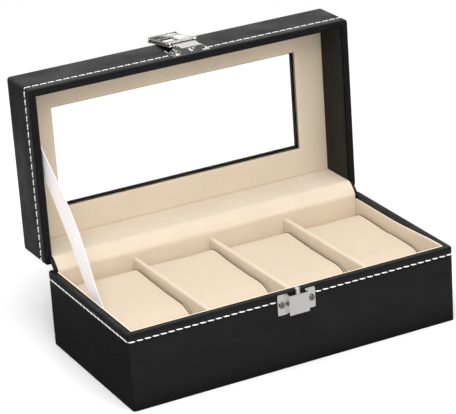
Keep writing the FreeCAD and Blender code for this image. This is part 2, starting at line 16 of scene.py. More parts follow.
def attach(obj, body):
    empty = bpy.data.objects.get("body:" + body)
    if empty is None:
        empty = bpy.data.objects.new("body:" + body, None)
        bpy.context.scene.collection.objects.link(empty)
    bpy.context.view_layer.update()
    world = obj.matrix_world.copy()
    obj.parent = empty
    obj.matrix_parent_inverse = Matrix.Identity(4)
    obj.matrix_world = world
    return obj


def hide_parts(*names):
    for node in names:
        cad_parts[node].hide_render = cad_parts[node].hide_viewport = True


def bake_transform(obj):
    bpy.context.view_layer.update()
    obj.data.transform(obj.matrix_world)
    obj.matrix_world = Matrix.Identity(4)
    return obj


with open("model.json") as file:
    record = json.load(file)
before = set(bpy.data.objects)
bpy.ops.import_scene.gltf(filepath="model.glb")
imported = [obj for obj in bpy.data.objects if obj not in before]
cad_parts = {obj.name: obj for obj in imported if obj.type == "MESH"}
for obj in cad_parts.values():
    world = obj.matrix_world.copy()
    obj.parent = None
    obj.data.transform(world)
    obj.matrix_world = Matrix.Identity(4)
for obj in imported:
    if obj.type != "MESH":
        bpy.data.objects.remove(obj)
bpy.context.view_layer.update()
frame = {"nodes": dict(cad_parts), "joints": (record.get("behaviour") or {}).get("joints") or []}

MM = 0.001
WELD = 0.005 * MM
SLIVER = 0.001 * MM
FACE_SHARP_DEG = 50.0
CARD_SHARP_DEG = 60.0
THREAD_SHARP_DEG = 80.0
ACROSS = Vector((1, 0, 0))
NOISE_SPAN = (0.25, 0.75)
BLEND_SPAN = (0.3, 0.7)
LOG = logging.getLogger("watch_box")
Colour = tuple[float, float, float]
Corners = tuple[Vector, Vector]
Loop = list[Vector]


class Body(str, Enum):
    """Bodies of the frame that pieces ride on."""

    BASE = "base"
    LID = "lid"


class Slot(str, Enum):
    """Material slots of the record, passed along with the new pieces."""

    LEATHER = "leather_black"
    VELVET = "velvet_cream"
    RIBBON = "ribbon_white"


class Side(str, Enum):
    """Sides of the box, as the frame's nodes write them."""

    FRONT = "front"
    RIGHT = "right"
    BACK = "back"
    LEFT = "left"


SIDES = tuple(side.value for side in Side)


def joint(name: str) -> dict:
    """Joint of the frame by name."""
    return next(j for j in frame["joints"] if j["name"] == name)


def lid_turn() -> Matrix:
    """Turn of the lid about its hinge.

    Returns:
        Matrix, in millimetres, that carries the shut lid to where it rests open.
    """
    hinge = joint("lid_hinge")
    pivot = Matrix.Translation(Vector(hinge["pos_m"]) / MM)
    turn = Matrix.Rotation(math.radians(-hinge["range_deg"][0]), 4, Vector(hinge["axis"]))
    return pivot @ turn @ pivot.inverted()


OPEN = lid_turn()
SHUT = OPEN.inverted()
STILL = Matrix.Identity(4)


def turns(body: Body) -> tuple[Matrix, Matrix]:
    """Matrix that shuts the pieces of a body, and the one that carries them back to where they rest."""
    return (SHUT, OPEN) if body is Body.LID else (STILL, STILL)


def node_points(node: str, turn: Matrix = STILL) -> list[Vector]:
    """Vertices of a frame node in millimetres.

    Args:
        node: Name of the node.
        turn: Matrix that each point goes through first, such as SHUT for the lid.

    Returns:
        The turned points.
    """
    return [turn @ (v.co / MM) for v in frame["nodes"][node].data.vertices]


def node_box(node: str, turn: Matrix = STILL) -> Corners:
    """Box round a frame node in millimetres.

    Args:
        node: Name of the node.
        turn: Matrix that each point goes through first.

    Returns:
        Lowest and highest corner.
    """
    points = node_points(node, turn)
    low = Vector([min(p[i] for p in points) for i in range(3)])
    high = Vector([max(p[i] for p in points) for i in range(3)])
    return low, high


def inner_half(node: str, axis: int, turn: Matrix = STILL) -> float:
    """Half the clear width of a ring-shaped node along one axis, in millimetres."""
    return min(abs(p[axis]) for p in node_points(node, turn))


def ripple(point: Vector, period: float, seed: float) -> float:
    """Smooth noise from -1 to 1 with features a period apart, the same on every run."""
    return noise.noise(point / period + Vector((seed, 2.7 * seed, -1.3 * seed)))


def feed(links: bpy.types.NodeLinks, socket: bpy.types.NodeSocket, value: object) -> None:
    """Sets an input of a shader node to a constant, or links it to an output.

    Args:
        links: Links of the node tree.
        socket: Input to feed.
        value: Constant or output.
    """
    if isinstance(value, bpy.types.NodeSocket):
        links.new(value, socket)
    else:
        socket.default_value = value


class ShaderSheet:
    """One material's node tree, with short ways to add patterns to its surface shader."""

    def __init__(self, name: str) -> None:
        """Starts a material.

        Args:
            name: Name of the material.
        """
        self.material = bpy.data.materials.new(name)
        self.material.use_nodes = True
        self.nodes = self.material.node_tree.nodes
        self.links = self.material.node_tree.links
        self.surface = self.nodes["Principled BSDF"]
        self.place = self.nodes.new("ShaderNodeTexCoord").outputs["Object"]

    def set(self, **values: object) -> None:
        """Sets constants on the surface shader.

        Args:
            values: Constants by socket name, in lower case and with underscores for spaces.
        """
        names = {key.lower(): key for key in self.surface.inputs.keys()}
        for key, value in values.items():
            self.surface.inputs[names[key.replace("_", " ")]].default_value = value

    def node(self, kind: str, sockets: dict, **settings: object) -> bpy.types.Node:
        """Adds a shader node.

        Args:
            kind: Node type without its ShaderNode prefix.
            sockets: Constants or outputs for the node's inputs, by name.
            settings: Attributes of the node.

        Returns:
            The new node.
        """
        made = self.nodes.new("ShaderNode" + kind)
        for key, value in settings.items():
            setattr(made, key, value)
        for key, value in sockets.items():
            feed(self.links, made.inputs[key], value)
        return made

    def scaled(self, stretch: Sequence[float]) -> bpy.types.NodeSocket:
        """Place on the piece in millimetres, pulled out along each axis."""
        scale = [1 / (MM * s) for s in stretch]
        return self.node("Mapping", {"Vector": self.place, "Scale": scale}).outputs["Vector"]

    def cloud(
        self, period: float, detail: float = 2.0, stretch: Sequence[float] = (1, 1, 1)
    ) -> bpy.types.NodeSocket:
        """Soft noise from 0 to 1 with features a period of millimetres apart."""
        vector = self.scaled(stretch)
        return self.node("TexNoise", {"Vector": vector, "Scale": 1 / period, "Detail": detail}).outputs[0]

    def cells(self, period: float, crease: float) -> bpy.types.NodeSocket:
        """Pebbled cells.

        Args:
            period: Distance between cells in millimetres.
            crease: Width of the crease round a cell, as a share of the period.

        Returns:
            Value that is 1 on a cell and 0 in a crease.
        """
        sockets = {"Vector": self.scaled((1, 1, 1)), "Scale": 1 / period}
        edge = self.node("TexVoronoi", sockets, feature="DISTANCE_TO_EDGE").outputs["Distance"]
        return self.ranged(edge, (0.0, crease), (0.0, 1.0))

    def ranged(
        self, value: bpy.types.NodeSocket, source: Sequence[float], target: Sequence[float]
    ) -> bpy.types.NodeSocket:
        """Moves a value from one range to another and holds it inside.

        Args:
            value: Value to move.
            source: Ends of the range that it comes from.
            target: Ends of the range that it goes to.

        Returns:
            The moved value.
        """
        sockets = {"Value": value, "From Min": source[0], "From Max": source[1]}
        sockets.update({"To Min": target[0], "To Max": target[1]})
        return self.node("MapRange", sockets).outputs["Result"]

    def summed(self, *parts: tuple[bpy.types.NodeSocket, float]) -> bpy.types.NodeSocket:
        """Adds several values up.

        Args:
            parts: Each value with its weight.

        Returns:
            The weighted sum.
        """
        total = None
        for value, weight in parts:
            term = self.node("Math", {0: value, 1: weight}, operation="MULTIPLY").outputs[0]
            if total is not None:
                term = self.node("Math", {0: total, 1: term}, operation="ADD").outputs[0]
            total = term
        return total

    def tint(self, value: bpy.types.NodeSocket, low: Colour, high: Colour) -> None:
        """Colours the surface along a value.

        Args:
            value: Value from 0 to 1.
            low: Colour where the value is 0.
            high: Colour where it is 1.
        """
        ramp = self.node("ValToRGB", {"Fac": value})
        ramp.color_ramp.elements[0].color = (*low, 1.0)
        ramp.color_ramp.elements[1].color = (*high, 1.0)
        self.links.new(ramp.outputs["Color"], self.surface.inputs["Base Color"])

    def polish(self, value: bpy.types.NodeSocket, low: float, high: float) -> None:
        """Varies the surface's roughness along a value."""
        self.links.new(self.ranged(value, NOISE_SPAN, (low, high)), self.surface.inputs["Roughness"])

    def relief(self, height: bpy.types.NodeSocket, depth: float, strength: float) -> None:
        """Raises the surface by a height pattern.

        Args:
            height: Pattern, usually from 0 to 1.
            depth: Millimetres that a height of 1 stands for.
            strength: Share of the relief that shows.
        """
        sockets = {"Height": height, "Distance": depth * MM, "Strength": strength}
        bump = self.node("Bump", sockets).outputs["Normal"]
        self.links.new(bump, self.surface.inputs["Normal"])


def shade(colour: Colour, factor: float) -> Colour:
    """Colour made lighter or darker."""
    return tuple(min(1.0, c * factor) for c in colour)


@dataclass(frozen=True)
class LeatherFinish:
    """Black leather-look cloth with a fine pebbled grain."""

    name: str
    colour: Colour = (0.0065, 0.0065, 0.0072)
    gloss: tuple[float, float] = (0.26, 0.56)
    specular: float = 0.24
    pebble: float = 1.1
    depth: float = 0.12
    relief: float = 0.7
    patch: float = 28.0
    patch_shades: tuple[float, float] = (0.75, 1.3)
    wear: float = 16.0
    crease: float = 0.22
    fine: float = 0.35
    broad: float = 7.0

    def material(self) -> bpy.types.Material:
        """Builds the material.

        Returns:
            The new material.
        """
        sheet = ShaderSheet(self.name)
        patches = sheet.cloud(self.patch, 3.0)
        sheet.tint(patches, *(shade(self.colour, factor) for factor in self.patch_shades))
        sheet.polish(sheet.cloud(self.wear, 4.0), *self.gloss)
        pebbles = sheet.cells(self.pebble, self.crease)
        fine = sheet.cloud(self.fine, 2.0)
        broad = sheet.cloud(self.broad, 2.0)
        sheet.relief(sheet.summed((pebbles, 1.0), (fine, 0.7), (broad, 2.2)), self.depth, self.relief)
        sheet.set(specular_ior_level=self.specular)
        return sheet.material


@dataclass(frozen=True)
class VelvetFinish:
    """Short-pile velvet whose pile lies unevenly."""

    name: str
    colour: Colour
    contrast: float = 0.06
    sheen: float = 0.22
    brushed: float = 24.0
    tuft: float = 1.6
    pile: float = 0.28
    depth: float = 0.08
    relief: float = 0.45

    def material(self) -> bpy.types.Material:
        """Builds the material.

        Returns:
            The new material.
        """
        sheet = ShaderSheet(self.name)
        brushed = sheet.cloud(self.brushed, 3.0)
        tufts = sheet.cloud(self.tuft, 3.0)
        pile = sheet.cloud(self.pile, 2.0)
        mixed = sheet.summed((brushed, 0.45), (tufts, 0.25), (pile, 0.30))
        value = sheet.ranged(mixed, BLEND_SPAN, (0.0, 1.0))
        sheet.tint(value, shade(self.colour, 1 - self.contrast), shade(self.colour, 1 + self.contrast))
        sheet.relief(sheet.summed((pile, 1.0), (tufts, 0.8)), self.depth, self.relief)
        sheet.set(roughness=0.92, specular_ior_level=0.12, sheen_weight=self.sheen, sheen_roughness=0.55)
        sheet.set(sheen_tint=(1.0, 0.95, 0.88, 1.0))
        return sheet.material


@dataclass(frozen=True)
class SatinFinish:
    """Woven satin ribbon with fine threads across and along it."""

    name: str
    colour: Colour = (0.88, 0.82, 0.81)
    gloss: tuple[float, float] = (0.42, 0.55)
    shades: tuple[float, float] = (0.95, 1.05)
    soft: float = 9.0
    thread: float = 0.22
    slub: float = 1.1
    depth: float = 0.03
    relief: float = 0.4

    def material(self) -> bpy.types.Material:
        """Builds the material.

        Returns:
            The new material.
        """
        sheet = ShaderSheet(self.name)
        soft = sheet.cloud(self.soft, 3.0)
        threads = sheet.cloud(self.thread, 1.0, (4.0, 1.0, 1.0))
        slubs = sheet.cloud(self.slub, 2.0, (1.0, 3.0, 3.0))
        mixed = sheet.summed((soft, 0.6), (slubs, 0.4))
        sheet.tint(mixed, *(shade(self.colour, factor) for factor in self.shades))
        sheet.relief(sheet.summed((threads, 1.0), (slubs, 0.6)), self.depth, self.relief)
        sheet.polish(soft, *self.gloss)
        sheet.set(specular_ior_level=0.4, sheen_weight=0.3, sheen_roughness=0.35)
        return sheet.material


@dataclass(frozen=True)
class MetalFinish:
    """Bright nickel or steel, with faint handling marks, brushed along one axis if asked."""

    name: str
    colour: Colour
    gloss: tuple[float, float]
    brush: tuple[float, float, float] = (1.0, 1.0, 1.0)
    depth: float = 0.004
    relief: float = 0.6
    shades: tuple[float, float] = (0.93, 1.05)
    mark: float = 0.35
    wear: float = 3.5

    def material(self) -> bpy.types.Material:
        """Builds the material.

        Returns:
            The new material.
        """
        sheet = ShaderSheet(self.name)
        marks = sheet.cloud(self.mark, 3.0, self.brush)
        wear = sheet.cloud(self.wear, 3.0)
        sheet.tint(wear, *(shade(self.colour, factor) for factor in self.shades))
        sheet.polish(sheet.summed((marks, 0.5), (wear, 0.5)), *self.gloss)
        sheet.relief(sheet.summed((marks, 1.0), (wear, 1.4)), self.depth, self.relief)
        sheet.set(metallic=1.0)
        return sheet.material


@dataclass(frozen=True)
class PaneFinish:
    """Clear window pane."""

    name: str
    gloss: tuple[float, float] = (0.0, 0.03)
    smear: float = 30.0

    def material(self) -> bpy.types.Material:
        """Builds the material.

        Returns:
            The new material.
        """
        sheet = ShaderSheet(self.name)
        sheet.polish(sheet.cloud(self.smear, 2.0), *self.gloss)
        sheet.set(base_color=(1.0, 1.0, 1.0, 1.0), transmission_weight=1.0, ior=1.2)
        return sheet.material


@dataclass(frozen=True)
class FibreFinish:
    """Matt fibrous stuff: raw board, black felt or cotton thread."""

    name: str
    colour: Colour
    fibre: float
    stretch: tuple[float, float, float] = (1.0, 1.0, 1.0)
    contrast: float = 0.15
    depth: float = 0.05
    relief: float = 0.5
    patch: float = 40.0

    def material(self) -> bpy.types.Material:
        """Builds the material.

        Returns:
            The new material.
        """
        sheet = ShaderSheet(self.name)
        fibres = sheet.cloud(self.fibre, 4.0, self.stretch)
        patches = sheet.cloud(self.patch * self.fibre, 2.0)
        mixed = sheet.summed((fibres, 0.6), (patches, 0.4))
        value = sheet.ranged(mixed, BLEND_SPAN, (0.0, 1.0))
        sheet.tint(value, shade(self.colour, 1 - self.contrast), shade(self.colour, 1 + self.contrast))
        sheet.relief(fibres, self.depth, self.relief)
        sheet.set(roughness=0.9, specular_ior_level=0.2)
        return sheet.material


@dataclass
class Finishes:
    """Materials of the box, one for each thing it is made of, plus a lighter velvet painted as a highlight
    on the linings' top edges and a dark brown painted as shade along the cushion seams.
    """

    leather: bpy.types.Material = field(init=False)
    lid_lining: bpy.types.Material = field(init=False)
    binding: bpy.types.Material = field(init=False)
    velvet: bpy.types.Material = field(init=False)
    lining_top_highlight: bpy.types.Material = field(init=False)
    cushion: bpy.types.Material = field(init=False)
    # seam: dark brown of the cushion seams, painted shade of the gap beside each cushion.
    seam: bpy.types.Material = field(init=False)
    ribbon: bpy.types.Material = field(init=False)
    nickel: bpy.types.Material = field(init=False)
    screw: bpy.types.Material = field(init=False)
    steel: bpy.types.Material = field(init=False)
    pane: bpy.types.Material = field(init=False)
    board: bpy.types.Material = field(init=False)
    felt: bpy.types.Material = field(init=False)
    thread: bpy.types.Material = field(init=False)

    def __post_init__(self) -> None:
        """Builds each material."""
        cream = (0.73, 0.62, 0.485)
        gap_shade_brown = (0.11, 0.075, 0.045)
        silver, brushed = (0.70, 0.69, 0.67), (12.0, 1.0, 1.0)
        white = (0.95, 0.94, 0.92)
        self.leather = LeatherFinish("black_leather").material()
        self.lid_lining = LeatherFinish("black_lining", (0.0085, 0.0075, 0.007), (0.5, 0.62), 0.2).material()
        self.binding = LeatherFinish("window_binding", (0.004, 0.004, 0.004), (0.8, 0.9), 0.06).material()
        self.velvet = VelvetFinish("cream_velvet", cream).material()
        # Lighter cream for the linings' up-facing top edges: a painted highlight where the light falls.
        self.lining_top_highlight = VelvetFinish("velvet_painted_top_highlight", (0.84, 0.76, 0.65), 0.04, 0.2).material()
        self.cushion = VelvetFinish("cushion_velvet", (0.68, 0.57, 0.44), 0.05, 0.10).material()
        # Dark brown cushion seam: painted shade of the gap between each cushion and the divider beside it.
        self.seam = FibreFinish("cushion_seam", gap_shade_brown, 0.2, contrast=0.1, depth=0.02).material()
        self.ribbon = SatinFinish("satin_ribbon").material()
        self.nickel = MetalFinish("bright_nickel", (0.85, 0.84, 0.83), (0.09, 0.22)).material()
        self.screw = MetalFinish("dark_nickel", (0.30, 0.28, 0.26), (0.12, 0.25)).material()
        self.steel = MetalFinish("brushed_steel", silver, (0.26, 0.40), brushed).material()
        self.pane = PaneFinish("clear_pane").material()
        self.board = FibreFinish("raw_board", (0.50, 0.37, 0.24), 0.5, (3.0, 3.0, 1.0)).material()
        self.felt = FibreFinish("black_felt", (0.022, 0.022, 0.024), 0.3, contrast=0.3).material()
        self.thread = FibreFinish("white_thread", white, 0.12, contrast=0.08, depth=0.03).material()


def piece(
    name: str,
    points: Sequence[Vector],
    faces: Sequence[Sequence[int]],
    material: bpy.types.Material,
    turn: Matrix = STILL,
    sharp_deg: float = FACE_SHARP_DEG,
) -> bpy.types.Object:
    """Makes a mesh object from points in millimetres.

    Args:
        name: Name of the piece.
        points: Vertices, in the shut box's own place.
        faces: Vertex numbers of each face.
        material: Finish of the whole piece.
        turn: Matrix that carries the piece to where it rests.
        sharp_deg: Edges that turn by more than this stay sharp.

    Returns:
        The linked object, with welded vertices and outward faces.
    """
    mesh = bpy.data.meshes.new(name)
    mesh.from_pydata([(turn @ p) * MM for p in points], [], faces)
    work = bmesh.new()
    work.from_mesh(mesh)
    bmesh.ops.remove_doubles(work, verts=work.verts, dist=WELD)
    bmesh.ops.dissolve_degenerate(work, edges=work.edges, dist=SLIVER)
    bmesh.ops.recalc_face_normals(work, faces=work.faces)
    work.to_mesh(mesh)
    work.free()
    mesh.materials.append(material)
    mesh.shade_smooth()
    mesh.set_sharp_from_angle(angle=math.radians(sharp_deg))
    made = bpy.data.objects.new(name, mesh)
    bpy.context.scene.collection.objects.link(made)
    return made


def seat(made: bpy.types.Object, body: str, slot: Slot, *nodes: str) -> bpy.types.Object:
    """Sets a piece on its body.

    Args:
        made: The piece.
        body: Body that it rides on.
        slot: Its material slot; not used.
        nodes: Frame nodes that it stands for.

    Returns:
        The same piece.
    """
    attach(made, body)
    if nodes:
        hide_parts(*nodes)
    LOG.info("%s rides on %s with %d faces", made.name, body, len(made.data.polygons))
    return made


def loop_faces(rings: int, count: int, closed: bool) -> list[tuple[int, int, int, int]]:
    """Faces between rings of points, each ring a closed loop.

    Args:
        rings: How many rings there are.
        count: Points in each ring.
        closed: True if the last ring joins the first.

    Returns:
        Four vertex numbers for each face.
    """
    faces = []
    for i in range(rings if closed else rings - 1):
        here, after = i * count, (i + 1) % rings * count
        for j in range(count):
            k = (j + 1) % count
            faces.append((here + j, here + k, after + k, after + j))
    return faces


def tube_faces(rings: int, count: int, start: int = 0) -> list[tuple[int, ...]]:
    """Faces of a closed tube: its side and its two ends.

    Args:
        rings: How many rings of points the tube has.
        count: Points in each ring.
        start: Number of the tube's first point.

    Returns:
        Vertex numbers of each face.
    """
    faces = [tuple(start + n for n in face) for face in loop_faces(rings, count, False)]
    for end in (start, start + (rings - 1) * count):
        faces.append(tuple(end + n for n in range(count)))
    return faces


def hoop(
    name: str,
    rings: Sequence[Loop],
    material: bpy.types.Material,
    turn: Matrix = STILL,
    sharp_deg: float = FACE_SHARP_DEG,
) -> bpy.types.Object:
    """Makes a closed piece from loops of points, the last of which joins the first.

    Args:
        name: Name of the piece.
        rings: The loops, with as many points in each.
        material: Finish of the piece.
        turn: Matrix that carries the piece to where it rests.
        sharp_deg: Edges that turn by more than this stay sharp.

    Returns:
        The new object.
    """
    points = [p for ring in rings for p in ring]
    return piece(name, points, loop_faces(len(rings), len(rings[0]), True), material, turn, sharp_deg)


def sheet_faces(rows: int, wide: int) -> list[tuple[int, ...]]:
    """Faces of a closed thin sheet: its front points row by row, then its back points in the same order.

    Args:
        rows: How many rows of points each side has.
        wide: Points in each row.

    Returns:
        Vertex numbers of each face, with the edge all round.
    """
    back = rows * wide
    faces = []
    for i in range(rows - 1):
        for k in range(wide - 1):
            n = i * wide + k
            quad = (n, n + 1, n + wide + 1, n + wide)
            faces.append(quad)
            faces.append(tuple(back + m for m in reversed(quad)))
    rim = list(range(wide)) + [i * wide + wide - 1 for i in range(1, rows)]
    rim += [(rows - 1) * wide + k for k in range(wide - 2, -1, -1)]
    rim += [i * wide for i in range(rows - 2, 0, -1)]
    for a, b in zip(rim, rim[1:] + rim[:1]):
        faces.append((a, b, back + b, back + a))
    return faces


def arc(
    centre: tuple[float, float], radius: float, start: float, end: float, steps: int
) -> list[tuple[float, float]]:
    """Points on a round stretch of an outline.

    Args:
        centre: Middle of the round.
        radius: Its radius.
        start: Angle of the first point, in degrees.
        end: Angle of the last point.
        steps: Stretches between points.

    Returns:
        The points, with both ends.
    """
    made = []
    for i in range(steps + 1):
        a = math.radians(start + (end - start) * i / steps)
        made.append((centre[0] + radius * math.cos(a), centre[1] + radius * math.sin(a)))
    return made


@dataclass(frozen=True)
class RectLoop:
    """Counts of points round a rectangle, so that rectangles of any size match point for point."""

    along_x: int
    along_y: int
    corner: int

    def walk(self, half_x: float, half_y: float, radius: float, z: float) -> Loop:
        """Points round a rounded rectangle, from the front right corner and on past the right side.

        Args:
            half_x: Half the width.
            half_y: Half the depth.
            radius: Radius of the corners, 0 for square ones.
            z: Height of the loop.

        Returns:
            As many points as every other loop of these counts has.
        """
        bends = (
            (1, -1, -90, self.along_y),
            (1, 1, 0, self.along_x),
            (-1, 1, 90, self.along_y),
            (-1, -1, 180, self.along_x),
        )
        corners = []
        for sx, sy, start, count in bends:
            centre = (sx * (half_x - radius), sy * (half_y - radius))
            corners.append((arc(centre, radius, start, start + 90, self.corner), count))
        points = []
        for i, (bend, count) in enumerate(corners):
            points += [Vector((x, y, z)) for x, y in bend]
            first, last = Vector((*bend[-1], z)), Vector((*corners[(i + 1) % 4][0][0], z))
            points += [first.lerp(last, k / count) for k in range(1, count)]
        return points

    def mitres(self) -> list[float]:
        """Shares of the mitre folds at the corners.

        Returns:
            For each point of a loop, 1 at the middle of a corner and 0 away from it.
        """
        shares = []
        for count in (self.along_y, self.along_x, self.along_y, self.along_x):
            shares += [1.0 - abs(2.0 * i / self.corner - 1.0) for i in range(self.corner + 1)]
            shares += [0.0] * (count - 1)
        return shares

    def outward(self) -> Loop:
        """Direction that each point of a loop faces."""
        small, large = self.walk(10, 10, 1, 0), self.walk(11, 11, 2, 0)
        return [(b - a).normalized() if (b - a).length > 0 else a for a, b in zip(small, large)]


@dataclass(frozen=True)
class Stitching:
    """A run of white stitches round the box, each a two-ply thread that dips into its holes."""

    pitch: float = 4.9
    length: float = 4.5
    radius: float = 0.34
    rise: float = 0.28
    dip: float = 0.55
    slant_deg: float = -5.0
    rings: int = 11
    sides: int = 10
    lobe: float = 0.22
    twists: float = 1.5
    knee: int = 8
    slim: float = 0.45
    slim_knee: int = 6
    flat: float = 0.8

    def count(self, around: float) -> int:
        """Whole stitches that fit round a loop."""
        return round(around / self.pitch)

    def thread(self, middle: Vector, along: Vector, out: Vector) -> list[Vector]:
        """Points of one stitch, ring by ring.

        Args:
            middle: Middle of the stitch on the leather.
            along: Direction of the seam.
            out: Direction away from the leather.

        Returns:
            Points of all rings, in order.
        """
        points = []
        across = out.cross(along)
        slant = math.radians(self.slant_deg)
        along = along * math.cos(slant) + across * math.sin(slant)
        across = out.cross(along)
        for i in range(self.rings):
            u = 2.0 * i / (self.rings - 1) - 1.0
            height = self.rise - (self.rise + self.dip) * u ** self.knee
            centre = middle + along * (u * self.length / 2) + out * height
            slim = 1.0 - self.slim * u ** self.slim_knee
            for k in range(self.sides):
                a = 2 * math.pi * k / self.sides
                lobe = 1.0 + self.lobe * math.cos(2 * a - math.pi * self.twists * u)
                r = self.radius * slim * lobe
                points.append(centre + across * (r * math.cos(a)) + out * (self.flat * r * math.sin(a)))
        return points

    def build(
        self,
        name: str,
        path: Loop,
        outward: Loop,
        material: bpy.types.Material,
        skip: Callable[[Vector], bool],
        turn: Matrix = STILL,
    ) -> bpy.types.Object:
        """Sews round a closed path, with one stitch in the middle of its front.

        Args:
            name: Name of the piece.
            path: Closed loop of points on the leather.
            outward: Direction that each point faces.
            material: Finish of the thread.
            skip: True where no stitch shows, as under a metal plate.
            turn: Matrix that carries the run to where it rests.

        Returns:
            One object with every stitch of the run.
        """
        lengths = [(b - a).length for a, b in zip(path, path[1:] + path[:1])]
        around = sum(lengths)
        total = self.count(around)
        front = min(range(len(path)), key=lambda i: (round(path[i].y, 1), abs(path[i].x)))
        first = sum(lengths[:front])
        points, faces = [], []
        for k in range(total):
            left, i = (first + k * around / total) % around, 0
            while left > lengths[i]:
                left -= lengths[i]
                i += 1
            after = (i + 1) % len(path)
            share = left / lengths[i]
            middle = path[i].lerp(path[after], share)
            if skip(middle):
                continue
            out = outward[i].lerp(outward[after], share).normalized()
            along = (path[(i + 2) % len(path)] - path[i - 1]).normalized()
            start = len(points)
            points += self.thread(middle, along, out)
            faces += tube_faces(self.rings, self.sides, start)
        return piece(name, points, faces, material, turn, THREAD_SHARP_DEG)


@dataclass
class Shell:
    """Sizes shared by the leather of the base and of the lid."""

    finishes: Finishes
    edge_r: float = 2.0
    lip_r: float = 1.1
    rim_r: float = 0.4
    skin: float = 1.0
    cuff: float = 4.6
    bead: float = 0.3
    bead_half: float = 0.35
    groove: float = 0.30
    groove_half: float = 1.1
    wave: float = 0.10
    waves: tuple[tuple[float, float, float], ...] = ((0.7, 34.0, 3.0), (0.3, 9.0, 5.0))
    mitre: float = 0.22
    groove_stops: tuple[float, ...] = (-1.0, -0.6, -0.25, 0.0, 0.25, 0.6, 1.0)
    bead_foot: float = 0.05
    lip_steps: int = 6
    rim_steps: int = 4
    cuff_proud: float = 0.08
    cuff_thick: float = 0.3
    loop: RectLoop = RectLoop(172, 88, 8)
    stitching: Stitching = Stitching()

    def __post_init__(self) -> None:
        """Reads the outside of the base from the frame."""
        front, right = node_box("base_leather_front"), node_box("base_leather_right")
        self.half_x, self.half_y = right[1].x, -front[0].y
        self.rim = right[1].x - right[0].x

    def ring(self, inset: float, z: float, wave: float = 0.0, crease: float = 0.0) -> Loop:
        """Loop round the box at an inset from its outside.

        Args:
            inset: Distance inward from the outer face.
            z: Height of the loop.
            wave: Share of the leather's unevenness that shows here.
            crease: Depth of the mitre fold at the corners, along Z.

        Returns:
            The loop's points.
        """
        radius = max(self.edge_r - inset, 0.0)
        points = self.loop.walk(self.half_x - inset, self.half_y - inset, radius, z)
        outward, mitres = self.loop.outward(), self.loop.mitres()
        for p, n, m in zip(points, outward, mitres):
            spread = sum(share * ripple(p, period, seed) for share, period, seed in self.waves)
            p += n * (wave * self.wave * spread)
            p.z -= crease * m ** 3
        return points

    def seam(self, z: float) -> list[Loop]:
        """Loops of the shallow groove that the stitches pull into the leather.

        Args:
            z: Height of the seam.

        Returns:
            The loops, from below the seam to above it.
        """
        loops = []
        for share in self.groove_stops:
            depth = self.groove * (1 - share * share) ** 2
            loops.append(self.ring(depth, z + share * self.groove_half, wave=0.6))
        return loops

    def rim_rings(self, edge: float, into: float) -> list[Loop]:
        """Loops over the rim: round its outer edge, across its bead, down the inner face and back inside.

        Args:
            edge: Height of the rim.
            into: 1 where the wall goes up from the rim, as on the lid, and -1 where it goes down.

        Returns:
            The loops, from the outer face to the inside of the leather.
        """
        inner = self.rim - self.rim_r
        middle = (self.lip_r + inner) / 2 + self.bead_half
        rounded = arc((self.lip_r, self.lip_r), self.lip_r, 180, 270, self.lip_steps)
        across = [(middle - 2 * self.bead_half, 0.0), (middle - self.bead_half, self.bead_foot)]
        across += [(middle, self.bead), (middle + self.bead_half, self.bead_foot)]
        across += arc((inner, self.rim_r), self.rim_r, 270, 360, self.rim_steps)
        back = self.rim - self.cuff_thick
        hidden = [(self.rim + self.cuff_proud, self.cuff), (back, self.cuff)]
        hidden += [(back, self.skin), (self.skin, self.skin)]
        rings = [self.ring(inset, edge + into * drop, wave=0.4) for inset, drop in rounded]
        rings += [self.ring(inset, edge + into * drop, crease=-into * self.mitre) for inset, drop in across]
        return rings + [self.ring(inset, edge + into * drop) for inset, drop in hidden]

    def stitch_path(self, z: float) -> Loop:
        """Closed path of the seam at a height, on the floor of its groove."""
        return self.ring(self.groove, z)

    def sew(self, body: Body, seam: float, plates: Sequence[str]) -> None:
        """Sews round the shell, except under its metal plates.

        Args:
            body: Body that the shell is on.
            seam: Height of the seam, with the lid shut.
            plates: Nodes that cover the seam.
        """
        shut, rest = turns(body)
        skip = covered([node_box(plate, shut) for plate in plates])
        name, path, thread = body.value + "_stitches", self.stitch_path(seam), self.finishes.thread
        run = self.stitching.build(name, path, self.loop.outward(), thread, skip, rest)
        seat(run, body, Slot.RIBBON)


@dataclass
class BaseShell(Shell):
    """Leather round the base, folded over the rim."""

    seam_drop: float = 4.7
    hem: float = 0.5
    hem_bend: tuple[float, float] = (0.15, 0.12)
    wall_steps: int = 16

    def build(self) -> None:
        """Makes the leather and its stitches."""
        top = node_box("base_leather_front")[1].z
        seam = top - self.seam_drop
        foot = ((self.skin, 0.0), (self.hem, 0.0), self.hem_bend, (0.0, self.hem))
        rings = [self.ring(inset, z) for inset, z in foot]
        for i in range(1, self.wall_steps):
            z = self.hem + (seam - self.groove_half - self.hem) * i / self.wall_steps
            rings.append(self.ring(0.0, z, wave=1.0))
        rings += self.seam(seam)
        rings += self.rim_rings(top, -1.0)
        made = hoop("base_leather", rings, self.finishes.leather)
        seat(made, Body.BASE, Slot.LEATHER, *("base_leather_" + side for side in SIDES))
        self.sew(Body.BASE, seam, ("keeper_plate", "hinge_base_leaf_left", "hinge_base_leaf_right"))


def covered(plates: Sequence[Corners], margin: float = 1.3, near: float = 3.0) -> Callable[[Vector], bool]:
    """Test for a point of a seam that a metal plate covers.

    Args:
        plates: Corners of the plates.
        margin: Least room from a plate to the middle of a stitch.
        near: Distance along Y within which a plate covers the leather.

    Returns:
        A function that is true for a covered point.
    """

    def test(point: Vector) -> bool:
        """Tells whether a point is covered.

        Args:
            point: Middle of a stitch.

        Returns:
            True where a plate covers it.
        """
        for low, high in plates:
            beside = low.x - margin < point.x < high.x + margin
            behind = min(abs(point.y - low.y), abs(point.y - high.y)) < near
            if beside and behind:
                return True
        return False

    return test


